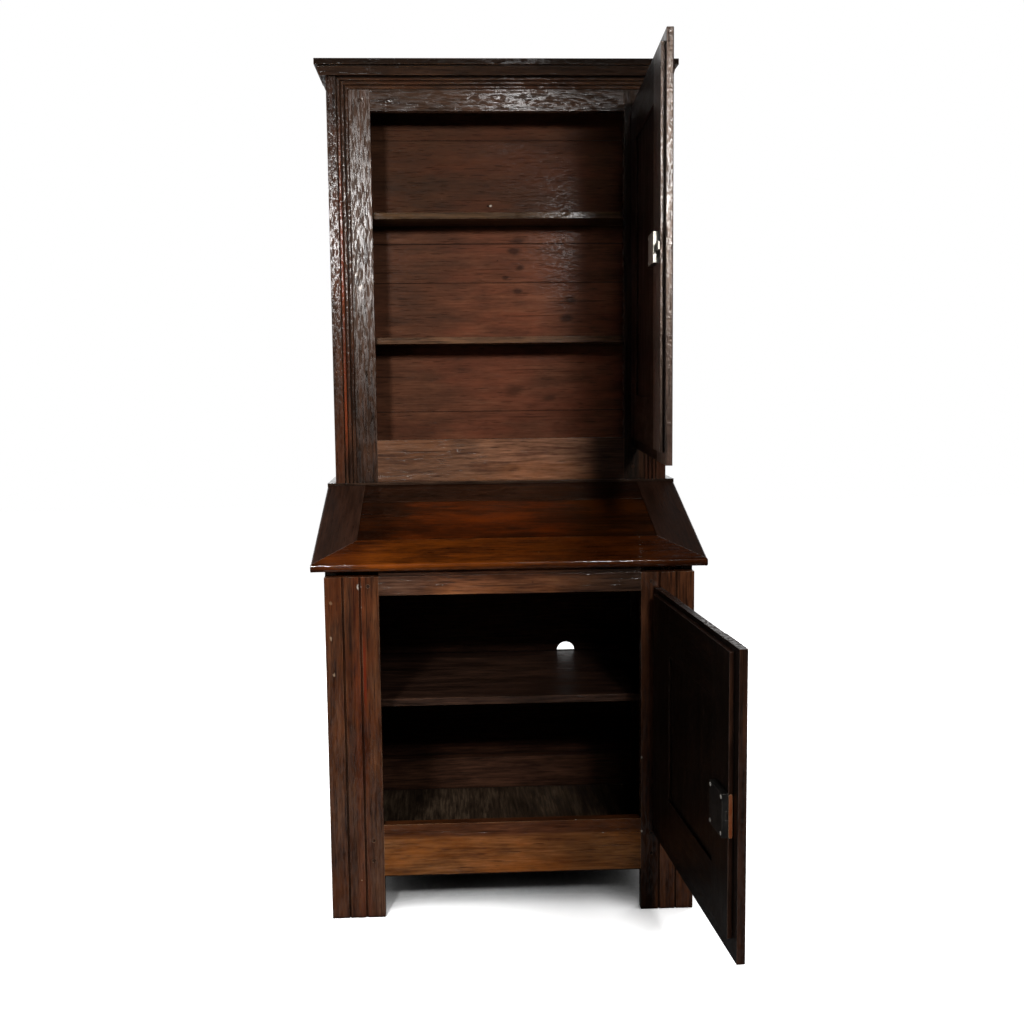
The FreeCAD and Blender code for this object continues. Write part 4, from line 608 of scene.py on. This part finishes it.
black_iron = forged_metal("forged_black_iron", "#0f0d0b", "#6f6a64", rough=0.55, metal=0.5, shine=0.2, seed=1.0)
screw_steel = forged_metal("filed_screw_steel", "#b4aea4", "#fffaf0", rough=0.3, metal=0.25, shine=0.9, seed=4.0)
bright_steel = forged_metal("brushed_bright_steel", "#86837a", "#c2beb2", rough=0.38, metal=1.0, shine=0.8, seed=2.0)
finish_with(black_iron, "upper_hinge_door_leaves", "lower_hinge_door_leaves", "hinge_frame_leaves", "hinge_pins",
            "lower_lock_case", "lower_lock_bolt")
finish_with(bright_steel, "upper_lock_case", "upper_lock_bolt")

# Edge plate of the lower lock: a rusty iron plate with rounded ends, nailed on the edge of the door's inner layer
# beside the bolt. It is the one orange-brown spot on the black door.
rusty_iron = forged_metal("rusted_edge_iron", "#7c3604", "#d8b890", rough=0.9, metal=0.0, shine=0.1, seed=3.0)
HINGE_X = {"upper": 0.3389, "lower": 0.3231}
CASE_FRONT = {"upper": UPPER_FRONT, "lower": LOWER_FRONT}
PIN_AHEAD = 0.0043
DOOR_PLACE = {door: Matrix.Translation((HINGE_X[door], CASE_FRONT[door] - PIN_AHEAD, 0))
              @ Matrix.Rotation(DOOR_TURN[door], 4, "Z") for door in DOOR_TURN}


def plate(outline, level, thick, across):
    """A thin plate, chamfered 0.5 mm round its visible face; `across` maps (u, v, height) to the door's axes."""
    count = len(outline)
    middle_u, middle_v = sum(u for u, v in outline) / count, sum(v for u, v in outline) / count
    rings = []
    for height, inset in ((0.0, 0.0), (thick * 0.6, 0.0), (thick, 0.0005)):
        ring = []
        for u, v in outline:
            du, dv = middle_u - u, middle_v - v
            reach = math.hypot(du, dv)
            ring.append(across(u + du / reach * inset, v + dv / reach * inset, level + height))
        rings += ring
    faces = [tuple(range(count))[::-1], tuple(2 * count + i for i in range(count))]
    for step in (0, count):
        faces += [(step + i, step + (i + 1) % count, step + count + (i + 1) % count, step + count + i)
                  for i in range(count)]
    return rings, faces


def outward(piece):
    shape = bmesh.new()
    shape.from_mesh(piece.data)
    bmesh.ops.recalc_face_normals(shape, faces=shape.faces)
    shape.to_mesh(piece.data)
    shape.free()


def strip(low, high, left, right, cap):
    """The plate's outline: an upright strip whose ends are rounded by arcs `cap` high."""
    centre, half = (left + right) / 2, (right - left) / 2
    outline = []
    for end, start in ((high - cap, 0.0), (low + cap, math.pi)):
        turns = [start + math.pi * i / 8 for i in range(9)]
        outline += [(centre + half * math.cos(turn), end + cap * math.sin(turn)) for turn in turns]
    return outline


edge_outline = strip(low=0.401, high=0.481, left=0.0052, right=0.0122, cap=0.003)
edge_plate = mesh_of("lower_lock_edge_plate",
                     [plate(edge_outline, level=0.6124, thick=0.0009, across=lambda u, v, height: (-height, u, v))],
                     rusty_iron, DOOR_PLACE["lower"])
outward(edge_plate)
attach(edge_plate, "lower_door")

# Screws and nails: hand-filed screws with an off-centre slot hold the hinge leaves and locks, and rose-headed
# nails, driven flush, hold the back boards to posts, shelves and floors. Each head turns and differs a little.
heads = bpy.data.node_groups.new("fastener_heads", "GeometryNodeTree")
heads.interface.new_socket("Geometry", in_out="OUTPUT", socket_type="NodeSocketGeometry")
heads.interface.new_socket("Geometry", in_out="INPUT", socket_type="NodeSocketGeometry")
sockets = {}
for label, value in (("Head Radius", 0.0032), ("Head Height", 0.0008), ("Slot Width", 0.0009)):
    socket = heads.interface.new_socket(label, in_out="INPUT", socket_type="NodeSocketFloat")
    socket.default_value = value
    sockets[label] = socket.identifier
for label, kind, value in (("Sides", "NodeSocketInt", 20), ("Seed", "NodeSocketInt", 7),
                           ("Finish", "NodeSocketMaterial", None)):
    socket = heads.interface.new_socket(label, in_out="INPUT", socket_type=kind)
    if value is not None:
        socket.default_value = value
    sockets[label] = socket.identifier
given = add(heads, "NodeGroupInput")
sizes = {label: given.outputs[label] for label in sockets}
cone_top = add(heads, "ShaderNodeMath", {0: sizes["Head Radius"], 1: 0.62}, operation="MULTIPLY")
cone = add(heads, "GeometryNodeMeshCone", {"Vertices": sizes["Sides"], "Radius Top": cone_top,
                                           "Radius Bottom": sizes["Head Radius"], "Depth": sizes["Head Height"]},
           fill_type="NGON")
slot_long = add(heads, "ShaderNodeMath", {0: sizes["Head Radius"], 1: 3.0}, operation="MULTIPLY")
slot_size = add(heads, "ShaderNodeCombineXYZ", {0: slot_long, 1: sizes["Slot Width"], 2: sizes["Head Height"]})
off_centre = add(heads, "ShaderNodeMath", {0: sizes["Slot Width"], 1: 0.2}, operation="MULTIPLY")
slot_place = add(heads, "ShaderNodeCombineXYZ", {1: off_centre, 2: sizes["Head Height"]})
slot = add(heads, "GeometryNodeMeshCube", {"Size": slot_size})
slot = add(heads, "GeometryNodeTransform", {"Geometry": slot, "Translation": slot_place})
slotted = add(heads, "GeometryNodeMeshBoolean", {"Mesh 1": cone, "Mesh 2": slot},
              operation="DIFFERENCE", solver="EXACT")
has_slot = add(heads, "ShaderNodeMath", {0: sizes["Slot Width"], 1: 0.0}, operation="GREATER_THAN")
head = add(heads, "GeometryNodeSwitch", {"Switch": has_slot, "False": cone, "True": slotted}, input_type="GEOMETRY")
facing = add(heads, "GeometryNodeInputNamedAttribute", {"Name": "facing"}, data_type="FLOAT_VECTOR")
aimed = add(heads, "FunctionNodeAlignRotationToVector", {"Vector": facing}, axis="Z")
spun = add(heads, "FunctionNodeRandomValue", {"Min": (0, 0, 0), "Max": (0.02, 0.02, 6.28), "Seed": sizes["Seed"]},
           data_type="FLOAT_VECTOR")
spun = add(heads, "FunctionNodeEulerToRotation", {0: spun})
turned = add(heads, "FunctionNodeRotateRotation", {0: aimed, 1: spun}, rotation_space="LOCAL")
grown = add(heads, "FunctionNodeRandomValue", {
    "Min": (0.9, 0.9, 0.9), "Max": (1.1, 1.1, 1.0), "Seed": sizes["Seed"]}, data_type="FLOAT_VECTOR")
laid_heads = add(heads, "GeometryNodeInstanceOnPoints", {
    "Points": given.outputs["Geometry"], "Instance": head, "Rotation": turned,
    "Scale": grown})
real = add(heads, "GeometryNodeRealizeInstances", {"Geometry": laid_heads})
painted = add(heads, "GeometryNodeSetMaterial", {"Geometry": real, "Material": sizes["Finish"]})
add(heads, "NodeGroupOutput", {0: painted})


def fasten(name, body, slot_name, spots, finish, door=None, **values):
    """Fastener heads of one body: `spots` are (place, facing) pairs, in the door's own axes where one is named."""
    place = DOOR_PLACE[door] if door else Matrix.Identity(4)
    mesh = bpy.data.meshes.new(name + "_spots")
    mesh.from_pydata([place @ Vector(spot) for spot, face in spots], [], [])
    faces = mesh.attributes.new("facing", "FLOAT_VECTOR", "POINT")
    faces.data.foreach_set("vector", [c for spot, face in spots for c in (place.to_3x3() @ Vector(face))])
    holder = bpy.data.objects.new(name + "_spots", mesh)
    bpy.context.scene.collection.objects.link(holder)
    modifier = holder.modifiers.new("heads", "NODES")
    modifier.node_group = heads
    for label, value in dict(values, Finish=finish).items():
        modifier[sockets[label.replace("_", " ")]] = value
    result = bpy.data.meshes.new_from_object(holder.evaluated_get(bpy.context.evaluated_depsgraph_get()))
    holder.modifiers.remove(modifier)
    bpy.data.objects.remove(holder)
    result.name = name
    piece = bpy.data.objects.new(name, result)
    bpy.context.scene.collection.objects.link(piece)
    outward(piece)
    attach(piece, body)


BACKWARD, FORWARD = (0, 1, 0), (0, -1, 0)
# the height of each leaf's foot, the screws above it, how far they are let in, and how far a leaf's heads stand out
LEAF_FEET = {"upper": (1.1225, 1.7328), "lower": (0.269, 0.599)}
SCREWS_UP = (0.010, 0.030, 0.050)
LET_IN, LEAF_HEAD = 0.0002, 0.0004
LIP_BACK = 0.0040


def leaf_screws(door, x, aside, y, direction):
    """Three screws in each of a door's two leaves, the middle one set `aside` of the other two."""
    return [((x + aside * (up == SCREWS_UP[1]), y, foot + up), direction) for foot in LEAF_FEET[door]
            for up in SCREWS_UP]


for door in DOOR_PLACE:
    fasten(f"{door}_door_leaf_screws", f"{door}_door", "black_iron",
           leaf_screws(door, x=-0.0153, aside=-0.004, y=LIP_BACK - LET_IN, direction=BACKWARD), black_iron, door,
           Head_Height=LEAF_HEAD)
UPPER_LOCK_FACE, LOWER_LOCK_FACE = 0.0235, 0.0240
fasten("upper_lock_screws", "upper_door", "bright_steel",
       [((x, UPPER_LOCK_FACE, z), BACKWARD) for x in (-0.6125, -0.5335) for z in (1.4455, 1.4945)],
       screw_steel, "upper")
fasten("lower_lock_screws", "lower_door", "bright_steel",
       [((x, LOWER_LOCK_FACE, z), BACKWARD) for x in (-0.6045, -0.5365) for z in (0.4085, 0.4755)],
       screw_steel, "lower", Head_Radius=0.0042, Head_Height=0.0014)
case_screws = []
for door in DOOR_PLACE:
    case_screws += leaf_screws(door, x=HINGE_X[door] + 0.0128, aside=0.003, y=CASE_FRONT[door] + LET_IN,
                               direction=FORWARD)
fasten("case_leaf_screws", "case", "black_iron", case_screws, black_iron, Head_Height=LEAF_HEAD)
# nails at both ends of every back board, and four along each upper shelf; each strays up to 2 mm from its line
nails = [(x, z) for z in (0.16, 0.25, 0.33, 0.42, 0.52, 0.61, 0.70, 0.78) for x in (-0.372, 0.371)]
nails += [(x, z) for z in (1.01, 1.09, 1.19, 1.30, 1.40, 1.51, 1.61, 1.70, 1.78, 1.88) for x in (-0.405, 0.404)]
nails += [(x, z) for z in (1.306, 1.614) for x in (-0.26, -0.09, 0.08, 0.25)]
STRAY, NAIL_LET_IN = 0.002, 0.0003
fasten("back_board_nails", "case", "black_iron",
       [((x + STRAY * math.sin(40 * z + x), BACK_OUTER - NAIL_LET_IN, z), BACKWARD) for x, z in nails], black_iron,
       Sides=5, Head_Radius=0.0045, Head_Height=0.0005, Slot_Width=0.0)
